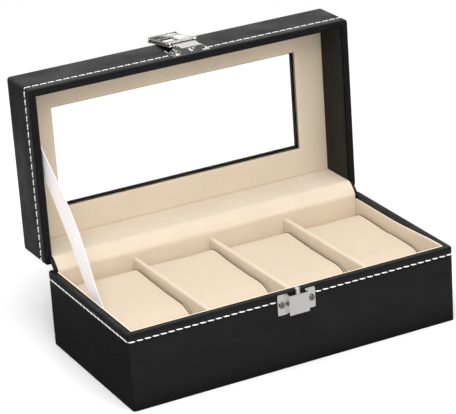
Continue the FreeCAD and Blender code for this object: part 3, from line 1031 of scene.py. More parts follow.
@dataclass
class LidShell(Shell):
    """Leather of the lid, drawn shut: rim fold, walls, top and the wrap round the window's edge."""

    seam_up: float = 6.2
    wrap: float = 1.1
    wrap_r: float = 0.6
    wrap_tuck: float = 0.05
    wrap_steps: int = 4
    pane_gap: float = 0.1
    wall_steps: int = 9
    edge_steps: int = 7
    top_steps: int = 8
    top_wave: float = 0.5
    top_period: float = 22.0

    def build(self) -> None:
        """Makes the leather and its stitches."""
        rim, top = node_box("lid_leather_front", SHUT)[0].z, node_box("lid_leather_top", SHUT)[1].z
        pane = node_box("window_pane", SHUT)[1].z + self.pane_gap
        seam = rim + self.seam_up
        rings = list(reversed(self.rim_rings(rim, 1.0)))
        rings += self.seam(seam)
        first = seam + self.groove_half
        for i in range(1, self.wall_steps):
            z = first + (top - self.edge_r - first) * i / self.wall_steps
            rings.append(self.ring(0.0, z, wave=1.0))
        for inset, z in arc((self.edge_r, top - self.edge_r), self.edge_r, 180, 90, self.edge_steps):
            rings.append(self.ring(inset, z, wave=0.5))
        rings += self.top_rings(rings[-1], top)
        bound = len(rings)
        rings += self.window_rings(top, pane)
        rings.append(self.ring(self.skin, top - self.skin))
        made = hoop("lid_leather", rings, self.finishes.leather, OPEN)
        made.data.materials.append(self.finishes.binding)
        for face in list(made.data.polygons)[bound * len(rings[0]):]:
            face.material_index = 1
        seat(made, Body.LID, Slot.LEATHER, *("lid_leather_" + side for side in SIDES), "lid_leather_top")
        self.sew(Body.LID, seam, ("clasp_plate", "hinge_lid_leaf_left", "hinge_lid_leaf_right"))

    def window(self) -> tuple[float, float]:
        """Half width and half depth of the window in the leather."""
        return inner_half("lid_leather_top", 0, SHUT), inner_half("lid_leather_top", 1, SHUT)

    def top_rings(self, edge: Loop, top: float) -> list[Loop]:
        """Loops over the top, from its rounded edge to the window.

        Args:
            edge: Last loop of the rounded edge.
            top: Height of the top.

        Returns:
            The loops.
        """
        half_x, half_y = self.window()
        end = self.loop.walk(half_x + self.wrap_r, half_y + self.wrap_r, 0.0, top)
        rings = []
        for i in range(1, self.top_steps + 1):
            share = i / self.top_steps
            ring = [a.lerp(b, share) for a, b in zip(edge, end)]
            for p in ring:
                swell = math.sin(math.pi * i / self.top_steps)
                p.z = top + self.top_wave * self.wave * ripple(p, self.top_period, seed=7.0) * swell
            rings.append(ring)
        return rings

    def window_rings(self, top: float, pane: float) -> list[Loop]:
        """Loops of the wrap: round the window's edge, down to the pane and back under the leather.

        Args:
            top: Height of the top.
            pane: Height where the wrap ends, just above the pane.

        Returns:
            The loops.
        """
        half_x, half_y = self.window()
        bend = arc((0.0, top - self.wrap_r), self.wrap_r, 90, 0, self.wrap_steps)[1:]
        shapes = [(self.wrap_r - x - self.wrap, z) for x, z in bend]
        shapes += [(-self.wrap, pane), (-self.wrap_tuck, pane), (-self.wrap_tuck, top - self.skin)]
        return [self.loop.walk(half_x + grow, half_y + grow, 0.0, z) for grow, z in shapes]


@dataclass(frozen=True)
class SoftCard:
    """A cloth-covered card: a block with rounded edges and a slightly uneven face."""

    edge_r: float = 0.45
    uneven: float = 0.05
    cell: float = 3.0
    bend_steps: int = 3
    thin_share: float = 0.45
    highlight_facing: float = 0.6
    uneven_period: float = 11.0

    def stops(self, low: float, high: float, radius: float) -> list[float]:
        """Places of the mesh lines along one axis, close together where the edges turn.

        Args:
            low: Low end of the block.
            high: High end of the block.
            radius: Radius of its edges.

        Returns:
            The places, in order.
        """
        bends = [radius * (1 - math.cos(math.pi / 2 * i / self.bend_steps)) for i in range(self.bend_steps)]
        inner_low, inner_high = low + radius, high - radius
        count = max(1, round((inner_high - inner_low) / self.cell))
        middle = [inner_low + (inner_high - inner_low) * i / count for i in range(count + 1)]
        return [low + b for b in bends] + middle + [high - b for b in reversed(bends)]

    def build(
        self,
        name: str,
        corners: Corners,
        material: bpy.types.Material,
        turn: Matrix = STILL,
        top: Optional[Callable[[float], float]] = None,
        fold: Optional[bpy.types.Material] = None,
    ) -> bpy.types.Object:
        """Makes the card.

        Args:
            name: Name of the piece.
            corners: Lowest and highest corner in millimetres.
            material: Finish of the card.
            turn: Matrix that carries the card to where it rests.
            top: Height of the top edge at each place along Y, where it isn't the block's own.
            fold: Lighter finish for the up-facing faces along the top edge, a painted highlight, where
                given.

        Returns:
            The new object.
        """
        low, high = corners
        radius = min(self.edge_r, self.thin_share * min(high - low))
        stops = [self.stops(low[i], high[i], radius) for i in range(3)]
        points, faces = [], []
        for axis in range(3):
            u, v = (axis + 1) % 3, (axis + 2) % 3
            for end in (low[axis], high[axis]):
                start = len(points)
                for a in stops[u]:
                    for b in stops[v]:
                        p = Vector((0, 0, 0))
                        p[axis], p[u], p[v] = end, a, b
                        points.append(self.rounded(p, low, high, radius))
                wide = len(stops[v])
                for i in range(len(stops[u]) - 1):
                    for j in range(wide - 1):
                        n = start + i * wide + j
                        faces.append((n, n + 1, n + wide + 1, n + wide))
        if top is not None:
            for p in points:
                p.z = low.z + (p.z - low.z) * (top(p.y) - low.z) / (high.z - low.z)
        made = piece(name, points, faces, material, turn)
        # Up-facing faces take the lighter finish, a painted highlight along the card's top edge.
        if fold is not None:
            made.data.materials.append(fold)
            for face in made.data.polygons:
                face.material_index = int(face.normal.z > self.highlight_facing)
        return made

    def rounded(self, point: Vector, low: Vector, high: Vector, radius: float) -> Vector:
        """Moves a point of the block onto its rounded and uneven form.

        Args:
            point: Point on the square block.
            low: Low corner of the block.
            high: High corner of the block.
            radius: Radius of its edges.

        Returns:
            The moved point.
        """
        core = Vector([min(max(point[i], low[i] + radius), high[i] - radius) for i in range(3)])
        away = (point - core).normalized()
        return core + away * (radius + self.uneven * (ripple(point, self.uneven_period, seed=9.0) - 1.0))


@dataclass
class Linings:
    """Velvet cards of the base, its dividers, the window's inner frame and the lid's black sides."""

    finishes: Finishes
    card: SoftCard = SoftCard()
    divider: SoftCard = SoftCard(1.35, 0.07, 2.5, 4)
    frame_edge: float = 0.35
    frame_bevel: float = 0.1
    frame_gap: float = 0.1
    frame_wave: float = 0.06
    frame_period: float = 13.0
    frame_steps: int = 8
    fold: float = 0.45
    below_rim: float = 0.08
    right_dip: float = 2.5
    dip_run: float = 0.6
    divider_rise: float = 2.6
    loop: RectLoop = RectLoop(48, 24, 2)

    def build(self) -> None:
        """Makes every card."""
        rim = node_box("base_leather_front")[1].z - self.below_rim
        front = node_box("base_lining_front")[1].y
        back = -front
        ridge = node_box("divider_1")[1].z

        def level(y: float) -> float:
            """Height of a lining that reaches the rim all along."""
            return rim

        def dipped(y: float) -> float:
            """Height of the right lining, which dips towards the back."""
            share = min(max((y - front) / (self.dip_run * (back - front)), 0.0), 1.0)
            return rim - self.right_dip * share * share * (3 - 2 * share)

        def rising(y: float) -> float:
            """Height of a divider, which rises towards the front."""
            return ridge + self.divider_rise * (back - y) / (back - front)

        # edge is the lighter velvet, painted as a highlight on the linings' up-facing top edges.
        velvet, edge, black = self.finishes.velvet, self.finishes.lining_top_highlight, self.finishes.lid_lining
        for side, top in (("front", level), ("left", level), ("right", dipped)):
            self.make("base_lining_" + side, Body.BASE, self.card, velvet, Slot.VELVET, top, edge)
            self.make("lid_lining_" + side, Body.LID, self.card, black, Slot.LEATHER)
        self.make("base_lining_floor", Body.BASE, self.card, velvet, Slot.VELVET)
        for number in (1, 2, 3):
            self.make("divider_%d" % number, Body.BASE, self.divider, velvet, Slot.VELVET, rising)
        self.window_frame()

    def make(
        self,
        node: str,
        body: Body,
        card: SoftCard,
        material: bpy.types.Material,
        slot: Slot,
        top: Optional[Callable[[float], float]] = None,
        fold: Optional[bpy.types.Material] = None,
    ) -> None:
        """Makes the card that stands for one node.

        Args:
            node: Name of the node.
            body: Body that the node is on.
            card: Kind of card.
            material: Finish of the card.
            slot: Material slot of the record.
            top: Height of the top edge along Y, where it isn't the node's own.
            fold: Lighter finish for the up-facing faces along the top edge, a painted highlight, where
                given.
        """
        shut, rest = turns(body)
        made = card.build(node + "_card", node_box(node, shut), material, rest, top, fold)
        seat(made, body, slot, node)

    def window_frame(self) -> None:
        """Velvet card round the window, with soft edges and a clean cut at the opening."""
        node = "window_inner_frame"
        low, high = node_box(node, SHUT)
        sight = inner_half(node, 0, SHUT), inner_half(node, 1, SHUT)
        r, bevel = self.frame_edge, self.frame_bevel
        rings = []
        for inset, z in ((0.0, high.z), (0.0, low.z + r), (bevel, low.z + bevel), (r, low.z)):
            half_x, half_y = high.x - self.frame_gap - inset, high.y - self.fold - inset
            rings.append(self.loop.walk(half_x, half_y, 0.0, z))
        outer = rings[-1]
        inner = self.loop.walk(sight[0] + r, sight[1] + r, 0.0, low.z)
        for i in range(1, self.frame_steps + 1):
            ring = [a.lerp(b, i / self.frame_steps) for a, b in zip(outer, inner)]
            for p in ring:
                swell = math.sin(math.pi * i / self.frame_steps)
                p.z -= self.frame_wave * ripple(p, self.frame_period, seed=4.0) * swell
            rings.append(ring)
        for inset, z in ((bevel, low.z + bevel), (0.0, low.z + r), (0.0, high.z)):
            rings.append(self.loop.walk(sight[0] + inset, sight[1] + inset, 0.0, z))
        made = hoop("window_frame_card", rings, self.finishes.velvet, OPEN, CARD_SHARP_DEG)
        seat(made, Body.LID, Slot.VELVET, node)


@dataclass
class BackLining:
    """Velvet sheet up the base's back wall, over the hinge and along the lid, with leather behind it."""

    finishes: Finishes
    thick: float = 0.6
    columns: int = 90
    bend_steps: int = 14
    straight: float = 2.0
    taut: float = 0.7
    crease: float = 0.22
    crease_reach: float = 18.0
    crease_stretch: float = 9.0
    fine_crease: float = 2.6
    broad_crease: float = 18.0
    broad_share: float = 0.6
    head_gap: float = 0.25
    side_gap: float = -0.2
    strip_behind: float = 1.3
    strip_inset: float = 2.5
    strip_hold: float = 3.0

    def path(self, face: float, foot: float, head: float) -> list[tuple[Vector, Vector]]:
        """Points of a sheet's face across the open hinge, each with the direction it faces.

        Args:
            face: Place of the face along Y, with the lid shut.
            foot: Height where the sheet starts on the base.
            head: Height where it ends on the lid, with the lid shut.

        Returns:
            Pairs of point and direction, from foot to head.
        """
        hinge = self.hinge()
        front = Vector((0, -1, 0))
        made = []
        count = max(1, round((hinge.z - foot) / self.straight))
        for i in range(count):
            made.append((Vector((0, face, foot + (hinge.z - foot) * i / count)), front))
        start = Vector((0, face, hinge.z))
        end = OPEN @ start
        full = math.radians(-joint("lid_hinge")["range_deg"][0])
        for i in range(self.bend_steps + 1):
            share = i / self.bend_steps
            turn = Matrix.Rotation(-full * share, 3, "X")
            bent = hinge + turn @ (start - hinge)
            made.append((bent.lerp(start.lerp(end, share), self.taut), turn @ front))
        count = max(1, round((head - hinge.z) / self.straight))
        tilt = OPEN.to_3x3()
        for i in range(1, count + 1):
            made.append((OPEN @ Vector((0, face, hinge.z + (head - hinge.z) * i / count)), tilt @ front))
        return made

    def hinge(self) -> Vector:
        """Middle of the lid's hinge line in millimetres."""
        return Vector(joint("lid_hinge")["pos_m"]) / MM

    def build(self) -> None:
        """Makes the velvet and the leather strip."""
        low = node_box("base_lining_back")[0]
        head = node_box("lid_lining_back", SHUT)[1].z - self.head_gap
        half = node_box("base_lining_right")[0].x - self.side_gap
        velvet = self.path(low.y, low.z, head)
        made = self.sheet("back_lining", velvet, half, self.finishes.velvet, self.crease)
        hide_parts("base_lining_back", "hinge_cover", "lid_lining_back")
        self.declare(made)
        hinge = self.hinge()
        strip = self.path(low.y + self.strip_behind, hinge.z - self.strip_hold, hinge.z + self.strip_hold)
        wide = node_box("base_leather_right")[1].x - self.strip_inset
        behind = self.sheet("hinge_strip", strip, wide, self.finishes.leather, 0.0)
        self.declare(behind)

    def declare(self, made: bpy.types.Object) -> None:
        """Bakes a sheet's place into its mesh.

        Args:
            made: The sheet.
        """
        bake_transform(made)

    def sheet(
        self,
        name: str,
        rows: Sequence[tuple[Vector, Vector]],
        half: float,
        material: bpy.types.Material,
        crease: float,
    ) -> bpy.types.Object:
        """Makes a closed sheet along a path.

        Args:
            name: Name of the piece.
            rows: Points of the face with their directions.
            half: Half the sheet's width.
            material: Finish of the sheet.
            crease: Height of the faint creases near the hinge.

        Returns:
            The new object.
        """
        hinge = self.hinge()
        outer, inner = [], []
        for at, facing in rows:
            near = math.exp(-((at - hinge).length / self.crease_reach) ** 2)
            for k in range(self.columns + 1):
                x = half * (2.0 * k / self.columns - 1.0)
                point = Vector((x, at.y, at.z))
                stretched = Vector((x / self.crease_stretch, at.y, at.z))
                broad = self.broad_share * ripple(point, self.broad_crease, seed=8.0)
                push = crease * near * (ripple(stretched, self.fine_crease, seed=6.0) + broad)
                outer.append(point + facing * push)
                inner.append(point - facing * self.thick)
        faces = sheet_faces(len(rows), self.columns + 1)
        return piece(name, outer + inner, faces, material, STILL, CARD_SHARP_DEG)


@dataclass
class Cushion:
    """One watch cushion: a soft block with a deep round at the front, swelled as padded cloth."""

    finishes: Finishes
    number: int
    back_r: float = 9.0
    front_r: float = 17.0
    foot_r: float = 5.0
    side_r: float = 1.0
    side_steps: int = 6
    shrink: float = 0.3
    widen: float = 0.9
    squeeze: float = 1.5
    lift: float = 0.3
    rise: float = -0.3
    stuffing: tuple[float, ...] = (0.9, 1.1, -0.6, -1.4)
    voxel: float = 1.5
    pressure: float = 3.0
    frames: int = 20
    cap: float = 0.5
    cloth_quality: int = 6
    cloth_mass: float = 0.15
    smoothing: int = 2
    foot_share: float = 0.25
    waves: tuple[tuple[float, float, float], ...] = ((0.07, 13.0, 0.0), (0.16, 34.0, 2.0))
    pull: float = 0.15
    pull_power: int = 5
    seam_r: float = 0.36
    seam_in: float = 1.15
    seam_start: float = 0.03
    seam_span: float = 0.94
    seam_steps: int = 48
    seam_sides: int = 8
    drop_from: float = 20.0
    ribbon_room: float = 3.0

    def outline(self, low: Vector, high: Vector, inset: float) -> list[tuple[float, float]]:
        """Outline of the cushion from its side, in Y and Z.

        Args:
            low: Low corner of the block.
            high: High corner of the block.
            inset: How far the outline is drawn in.

        Returns:
            The points, from the foot of the back and on over the top.
        """
        y0, y1 = low.y + inset, high.y - inset
        z0, z1 = low.z + self.foot_share * inset, high.z - inset
        rounds = (
            (y1, z0, -1, 1, self.foot_r, -90, 6),
            (y1, z1, -1, -1, self.back_r, 0, 8),
            (y0, z1, 1, -1, self.front_r, 90, 14),
            (y0, z0, 1, 1, self.foot_r, 180, 6),
        )
        points = []
        for y, z, sy, sz, r, start, steps in rounds:
            points += arc((y + sy * r, z + sz * r), r, start, start + 90, steps)
        return points

    def build(self) -> None:
        """Makes the cushion, swells it and seats it."""
        node = "cushion_%d" % self.number
        low, high = node_box(node)
        low.x -= self.widen
        high.x += self.widen
        high.z += self.lift + self.stuffing[self.number - 1]
        grow = Vector((self.shrink - self.squeeze, self.shrink, self.shrink))
        made = self.block(node + "_pad", low + grow, high - grow)
        self.swell(made)
        self.settle(made, low, high)
        seat(made, node, Slot.VELVET, node)
        self.sew(made, low, high)

    def sew(self, made: bpy.types.Object, low: Vector, high: Vector) -> None:
        """Runs a seam along the top of each side, where the panels of cloth meet, coloured dark brown as
        painted shade of the gap beside the cushion.

        Args:
            made: The finished cushion.
            low: Low corner of the cushion's place.
            high: High corner of the cushion's place.
        """
        mesh = made.data
        corners, polygons = [v.co for v in mesh.vertices], [tuple(f.vertices) for f in mesh.polygons]
        tree = BVHTree.FromPolygons(corners, polygons)
        points, faces = [], []
        for side in (-1, 1):
            path = []
            for i in range(self.seam_steps + 1):
                forward = self.seam_start + self.seam_span * i / self.seam_steps
                x = (low.x + high.x + side * (high.x - low.x)) / 2 - side * self.seam_in
                x -= self.drawn_in(forward, float(side))
                above = Vector((x, high.y + (low.y - high.y) * forward, high.z + self.drop_from))
                path.append(tree.ray_cast(above * MM, Vector((0, 0, -1)))[0] / MM)
            start = len(points)
            for i, at in enumerate(path):
                along = (path[min(i + 1, self.seam_steps)] - path[max(i - 1, 0)]).normalized()
                up = ACROSS.cross(along).normalized()
                for k in range(self.seam_sides):
                    a = 2 * math.pi * k / self.seam_sides
                    points.append(at + (ACROSS * math.cos(a) + up * math.sin(a)) * self.seam_r)
            faces += tube_faces(len(path), self.seam_sides, start)
        name = "cushion_%d_seam" % self.number
        # The seam tube takes the dark brown finish, painted shade of the gap beside the cushion.
        run = piece(name, points, faces, self.finishes.seam, STILL, THREAD_SHARP_DEG)
        seat(run, "cushion_%d" % self.number, Slot.VELVET)

    def block(self, name: str, low: Vector, high: Vector) -> bpy.types.Object:
        """Closed block of even cells to start from.

        Args:
            name: Name of the piece.
            low: Low corner of the block.
            high: High corner of the block.

        Returns:
            The new object.
        """
        spots = []
        for across, r in arc((0, 0), self.side_r, 90, 0, self.side_steps):
            spots.append((high.x - self.side_r + across, self.side_r - r))
        spots = [(low.x + high.x - x, inset) for x, inset in reversed(spots)] + spots
        rings = []
        for x, inset in spots:
            rings.append([Vector((x, y, z)) for y, z in self.outline(low, high, inset)])
        points = [p for ring in rings for p in ring]
        made = piece(name, points, tube_faces(len(rings), len(rings[0])), self.finishes.cushion)
        remesh = made.modifiers.new("even_cells", "REMESH")
        remesh.mode = "VOXEL"
        remesh.voxel_size = self.voxel * MM
        apply_modifiers(made)
        return made

    def swell(self, made: bpy.types.Object) -> None:
        """Blows the block up as cloth, holds each point's travel under the cap and keeps the result.

        Args:
            made: The block.
        """
        before = [v.co.copy() for v in made.data.vertices]
        cloth = made.modifiers.new("swell", "CLOTH")
        cloth.settings.use_pressure = True
        cloth.settings.uniform_pressure_force = self.pressure
        cloth.settings.effector_weights.gravity = 0.0
        cloth.settings.quality = self.cloth_quality
        cloth.settings.mass = self.cloth_mass
        cloth.collision_settings.use_collision = False
        scene = bpy.context.scene
        for number in range(1, self.frames + 1):
            scene.frame_set(number)
        shape = made.evaluated_get(bpy.context.evaluated_depsgraph_get())
        after = [v.co.copy() for v in shape.data.vertices]
        made.modifiers.remove(cloth)
        scene.frame_set(1)
        limit = self.cap * MM
        for vertex, a, b in zip(made.data.vertices, before, after):
            move = b - a
            if move.length > limit:
                move *= limit / move.length
            vertex.co = a + move

    def settle(self, made: bpy.types.Object, low: Vector, high: Vector) -> None:
        """Smooths the cushion, keeps it inside its place in the slot and gives it a soft uneven face.

        Args:
            made: The swelled block.
            low: Low corner of the cushion's place.
            high: High corner of the cushion's place.
        """
        smooth = made.modifiers.new("smooth", "CORRECTIVE_SMOOTH")
        smooth.use_only_smooth = True
        smooth.iterations = self.smoothing
        subdivide = made.modifiers.new("round", "SUBSURF")
        subdivide.levels = 1
        apply_modifiers(made)
        normals = [v.normal.copy() for v in made.data.vertices]
        for vertex, out in zip(made.data.vertices, normals):
            p = vertex.co / MM
            p += out * sum(size * ripple(p, period, seed + self.number) for size, period, seed in self.waves)
            p = Vector([min(max(p[i], low[i]), high[i]) for i in range(3)])
            share = (p.z - low.z) / (high.z - low.z)
            forward = (high.y - p.y) / (high.y - low.y)
            p.z += self.rise * share * share * forward
            p.x -= self.drawn_in(forward, (2 * p.x - low.x - high.x) / (high.x - low.x))
            vertex.co = p * MM
        made.data.shade_smooth()

    def drawn_in(self, forward: float, across: float) -> float:
        """Move along X that pulls a side in between its corners, and clear of the ribbon beside it.

        Args:
            forward: Place along the cushion, 0 at the back and 1 at the front.
            across: Place across it, -1 at the left side and 1 at the right.

        Returns:
            How far the point goes to the left.
        """
        pull = self.pull * math.sin(math.pi * forward)
        if across < 0 and self.number == 1:
            pull += self.ribbon_room * (1 - forward * forward)
        return pull * across ** self.pull_power


def apply_modifiers(made: bpy.types.Object) -> None:
    """Keeps the result of a piece's modifiers as its own mesh.

    Args:
        made: The piece.
    """
    shape = made.evaluated_get(bpy.context.evaluated_depsgraph_get())
    mesh = bpy.data.meshes.new_from_object(shape)
    made.modifiers.clear()
    old, made.data = made.data, mesh
    bpy.data.meshes.remove(old)


@dataclass
class RibbonStay:
    """Satin ribbon from the base's left lining to the lid's, with a slight twist."""

    finishes: Finishes
    thick: float = 0.28
    width: float = 13.0
    lower_bow: float = 0.7
    upper_bow: float = 2.4
    cup: float = 0.35
    tuck: float = 0.08
    selvedge: float = 0.5
    selvedge_power: int = 12
    flat_at: float = 0.4
    swell_power: float = 1.2
    wave: float = 0.15
    wave_period: float = 15.0
    end_reach: float = 0.5
    aim_rounds: int = 4
    rows: int = 60
    columns: int = 12

    def ends(self) -> tuple[Vector, Vector]:
        """Finds the ribbon's two ends.

        Returns:
            Middle of the foot in the base and of the head in the lid, in millimetres.
        """
        points = node_points("ribbon_stay")
        nothing = Vector((0, 0, 0))
        centre = sum(points, nothing) / len(points)
        offsets = [p - centre for p in points]
        along = Vector((0, 1, 1))
        for _ in range(self.aim_rounds):
            along = sum((d * math.copysign(1, d.dot(along)) for d in offsets), nothing)
        along.normalize()
        reach = [d.dot(along) for d in offsets]
        middles = []
        for end in (min(reach), max(reach)):
            group = [p for p, r in zip(points, reach) if abs(r - end) < self.end_reach]
            middles.append(sum(group, nothing) / len(group))
        return middles[0], middles[1]

    def build(self) -> None:
        """Makes the ribbon from its foot in the base to its head in the lid, bowed to one side."""
        foot, head = self.ends()
        along = (head - foot).normalized()
        upper = ACROSS.cross(along)
        front, back = [], []
        for i in range(self.rows + 1):
            v = i / self.rows
            free = min(max((v - self.tuck) / (1 - 2 * self.tuck), 0.0), 1.0)
            swell = math.sin(math.pi * free) ** self.swell_power
            for k in range(self.columns + 1):
                u = 2.0 * k / self.columns - 1.0
                bow = self.lower_bow + (self.upper_bow - self.lower_bow) * (u + 1) / 2
                bow += self.cup * (u * u - self.flat_at)
                point = foot.lerp(head, v) + upper * (u * self.width / 2)
                point.x += swell * (bow + self.wave * ripple(point, self.wave_period, seed=11.0))
                half = self.thick / 2 * (1 + self.selvedge * u ** self.selvedge_power)
                front.append(point + Vector((half, 0, 0)))
                back.append(point - Vector((half, 0, 0)))
        faces = sheet_faces(self.rows + 1, self.columns + 1)
        made = piece("satin_ribbon", front + back, faces, self.finishes.ribbon, STILL, CARD_SHARP_DEG)
        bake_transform(made)
        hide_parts("ribbon_stay")


@dataclass
class Metalwork:
    """Clasp, keeper, hinges and screws: the frame's own nodes with eased edges and a metal finish."""

    finishes: Finishes
    ease: float = 0.14
    ease_steps: int = 2
    ease_deg: float = 32.0
    weld: float = 0.002

    def build(self) -> None:
        """Dresses each metal node."""
        for node in ("keeper_plate", "keeper_stud", "clasp_plate", "clasp_pin", "clasp_flap"):
            self.dress(node, self.finishes.nickel)
        for plate in ("keeper", "clasp"):
            for side in ("left", "right"):
                self.dress("%s_screw_%s" % (plate, side), self.finishes.screw)
        for kind in ("base_leaf", "base_screws", "pin", "lid_leaf", "lid_screws"):
            for side in ("left", "right"):
                self.dress("hinge_%s_%s" % (kind, side), self.finishes.steel)

    def dress(self, node: str, material: bpy.types.Material) -> None:
        """Gives one node its finish and eased edges.

        Args:
            node: Name of the node.
            material: Its finish.
        """
        made = frame["nodes"][node]
        paint(made, material)
        weld = made.modifiers.new("weld", "WELD")
        weld.merge_threshold = self.weld * MM
        bevel = made.modifiers.new("ease", "BEVEL")
        bevel.width = self.ease * MM
        bevel.segments = self.ease_steps
        bevel.limit_method = "ANGLE"
        bevel.angle_limit = math.radians(self.ease_deg)
        bevel.use_clamp_overlap = True
        made.modifiers.new("normals", "WEIGHTED_NORMAL")
        LOG.info("%s stays, with eased edges", node)


def paint(made: bpy.types.Object, material: bpy.types.Material) -> None:
    """Gives an object one material."""
    made.data.materials.clear()
    made.data.materials.append(material)


@dataclass
class HiddenPieces:
    """Boards, felt and pane: the frame's own nodes with their finishes."""

    finishes: Finishes

    def build(self) -> None:
        """Dresses each node."""
        boards = ["base_floor_board", "lid_top_board"]
        boards += [part + "_wall_" + side for part in ("base", "lid") for side in SIDES]
        for node in boards:
            paint(frame["nodes"][node], self.finishes.board)
        paint(frame["nodes"]["bottom_felt"], self.finishes.felt)
        paint(frame["nodes"]["window_pane"], self.finishes.pane)
        LOG.info("boards, felt and pane stay")


@dataclass(frozen=True)
class Softbox:
    """One square studio light."""

    name: str
    at: tuple[float, float, float]
    size: float
    power: float

    def build(self, aim: Vector) -> None:
        """Hangs the light and turns it to a point.

        Args:
            aim: The point, in metres.
        """
        data = bpy.data.lights.new(self.name, "AREA")
        data.size = self.size
        data.energy = self.power
        light = bpy.data.objects.new(self.name, data)
        light.location = self.at
        light.rotation_mode = "QUATERNION"
        light.rotation_quaternion = (aim - light.location).to_track_quat("-Z", "Y")
        bpy.context.scene.collection.objects.link(light)


def flat_quad(
    name: str, low: Sequence[float], high: Sequence[float], z: float, material: bpy.types.Material
) -> bpy.types.Object:
    """Lays a flat rectangle of the stage.

    Args:
        name: Name of the object.
        low: Low corner in X and Y, in metres.
        high: High corner in X and Y.
        z: Height.
        material: Finish of the rectangle.

    Returns:
        The linked object.
    """
    (x0, y0), (x1, y1) = low, high
    mesh = bpy.data.meshes.new(name)
    mesh.from_pydata([(x0, y0, z), (x1, y0, z), (x1, y1, z), (x0, y1, z)], [], [(0, 1, 2, 3)])
    mesh.materials.append(material)
    made = bpy.data.objects.new(name, mesh)
    bpy.context.scene.collection.objects.link(made)
    return made


@dataclass(frozen=True)
class Card:
    """Pale card that lies on the floor and shows in reflections only."""

    name: str
    low: tuple[float, float]
    high: tuple[float, float]
    level: float
    height: float = 0.0005

    def build(self) -> None:
        """Lays the card."""
        sheet = ShaderSheet(self.name)
        sheet.set(base_color=(0, 0, 0, 1), specular_ior_level=0.0)
        sheet.set(emission_color=(1, 1, 1, 1), emission_strength=self.level)
        card = flat_quad(self.name, self.low, self.high, self.height, sheet.material)
        for ray in ("camera", "diffuse", "transmission", "volume_scatter", "shadow"):
            setattr(card, "visible_" + ray, False)


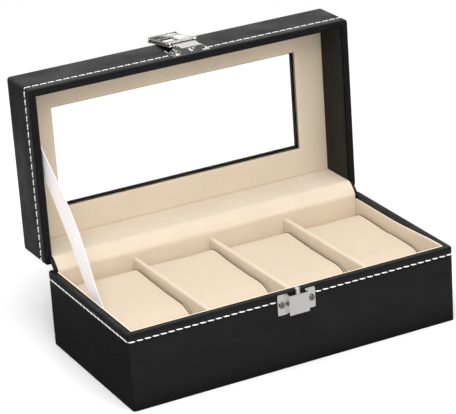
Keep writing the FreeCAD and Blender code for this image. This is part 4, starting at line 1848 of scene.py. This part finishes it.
@dataclass
class Studio:
    """Pale floor, soft light and the camera at the photograph's angle."""

    azimuth: float = -26.423
    elevation: float = 22.085
    roll: float = -3.717
    distance: float = 1375.875
    target: tuple[float, float, float] = (-12.042, 0.0, 82.284)
    lens: float = 189.13
    ambient: float = 0.72
    front_floor: float = 0.12
    rear_wall: float = 0.85
    dark: float = 0.07
    rear_span: tuple[float, float] = (-0.3, 0.4)
    floor_span: tuple[float, float] = (-0.7, -0.2)
    horizon: tuple[float, float] = (-0.05, 0.15)
    far: float = 50.0
    floor: Colour = (0.99, 0.99, 0.99)
    floor_size: float = 1.0
    cards: tuple[Card, ...] = (
        Card("front_card", (-0.35, -0.26), (0.35, -0.062), 0.62),
        Card("rear_card", (-0.60, 0.16), (-0.12, 0.39), 0.65),
    )
    lights: tuple[Softbox, ...] = (
        Softbox("top_softbox", (-0.15, -0.45, 1.2), 1.2, 12.5),
        Softbox("front_softbox", (-0.7, -1.3, 1.0), 0.6, 4.0),
    )

    def build(self) -> None:
        """Sets the stage."""
        scene = bpy.context.scene
        scene.view_settings.view_transform = "Standard"
        self.backdrop(scene)
        self.ground()
        for light in self.lights:
            light.build(Vector(self.target) * MM)
        for card in self.cards:
            card.build()
        self.camera(scene)

    def backdrop(self, scene: bpy.types.Scene) -> None:
        """White world for the eye and through glass, a dim soft light, and dark sides for reflections.

        Args:
            scene: Scene that gets the world.
        """
        world = bpy.data.worlds.new("studio")
        scene.world = world
        world.use_nodes = True
        nodes, links = world.node_tree.nodes, world.node_tree.links
        path = nodes.new("ShaderNodeLightPath").outputs

        def math_node(kind: str, first: object, second: object) -> bpy.types.NodeSocket:
            """Works one value out from two.

            Args:
                kind: Operation of the node.
                first: First constant or output.
                second: Second constant or output.

            Returns:
                The result.
            """
            made = nodes.new("ShaderNodeMath")
            made.operation = kind
            for socket, value in zip(made.inputs, (first, second)):
                feed(links, socket, value)
            return made.outputs[0]

        def ramp(
            value: bpy.types.NodeSocket, source: Sequence[float], target: Sequence[object]
        ) -> bpy.types.NodeSocket:
            """Moves a value from one range to another.

            Args:
                value: Value to move.
                source: Ends of the range that it comes from.
                target: Ends of the range that it goes to, each a constant or an output.

            Returns:
                The moved value.
            """
            made = nodes.new("ShaderNodeMapRange")
            names = ("Value", "From Min", "From Max", "To Min", "To Max")
            for key, item in zip(names, (value, *source, *target)):
                feed(links, made.inputs[key], item)
            return made.outputs["Result"]

        split = nodes.new("ShaderNodeSeparateXYZ")
        links.new(nodes.new("ShaderNodeTexCoord").outputs["Generated"], split.inputs[0])
        above = ramp(split.outputs["Y"], self.rear_span, (self.dark, self.rear_wall))
        below = ramp(split.outputs["Y"], self.floor_span, (self.front_floor, self.dark))
        around = ramp(split.outputs["Z"], self.horizon, (below, above))
        seen = math_node("MAXIMUM", path["Is Camera Ray"], path["Is Transmission Ray"])
        mirrored = math_node("MULTIPLY", path["Is Glossy Ray"], around)
        unseen = math_node("SUBTRACT", 1.0, math_node("MAXIMUM", seen, path["Is Glossy Ray"]))
        lit = math_node("MULTIPLY", unseen, self.ambient)
        level = math_node("MAXIMUM", math_node("MAXIMUM", seen, mirrored), lit)
        links.new(level, nodes["Background"].inputs["Strength"])
        nodes["Background"].inputs["Color"].default_value = (1, 1, 1, 1)

    def ground(self) -> None:
        """Pale floor under the box."""
        half = self.floor_size / 2
        sheet = ShaderSheet("pale_floor")
        sheet.set(base_color=(*self.floor, 1.0), roughness=0.9, specular_ior_level=0.1)
        floor = flat_quad("floor", (-half, -half), (half, half), 0.0, sheet.material)
        floor.visible_glossy = False

    def camera(self, scene: bpy.types.Scene) -> None:
        """Sets the camera at the photograph's angle.

        Args:
            scene: Scene that gets the camera.
        """
        a, e, r = (math.radians(x) for x in (self.azimuth, self.elevation, self.roll))
        back = Vector((math.sin(a) * math.cos(e), -math.cos(a) * math.cos(e), math.sin(e)))
        right = Vector((0, 0, 1)).cross(back).normalized()
        up = back.cross(right)
        across = right * math.cos(r) + up * math.sin(r)
        upright = up * math.cos(r) - right * math.sin(r)
        data = bpy.data.cameras.new("camera")
        data.lens = self.lens
        data.clip_end = self.far
        camera = bpy.data.objects.new("camera", data)
        place = (Vector(self.target) + back * self.distance) * MM
        turn = Matrix((across, upright, back)).transposed().to_4x4()
        camera.matrix_world = Matrix.Translation(place) @ turn
        scene.collection.objects.link(camera)
        scene.camera = camera


def main() -> None:
    """Builds the box piece by piece and sets the stage."""
    logging.basicConfig(level=logging.INFO, format="%(message)s")
    finishes = Finishes()
    BaseShell(finishes).build()
    LidShell(finishes).build()
    Linings(finishes).build()
    BackLining(finishes).build()
    for number in (1, 2, 3, 4):
        Cushion(finishes, number).build()
    RibbonStay(finishes).build()
    Metalwork(finishes).build()
    HiddenPieces(finishes).build()
    Studio().build()


if __name__ == "__main__":
    main()
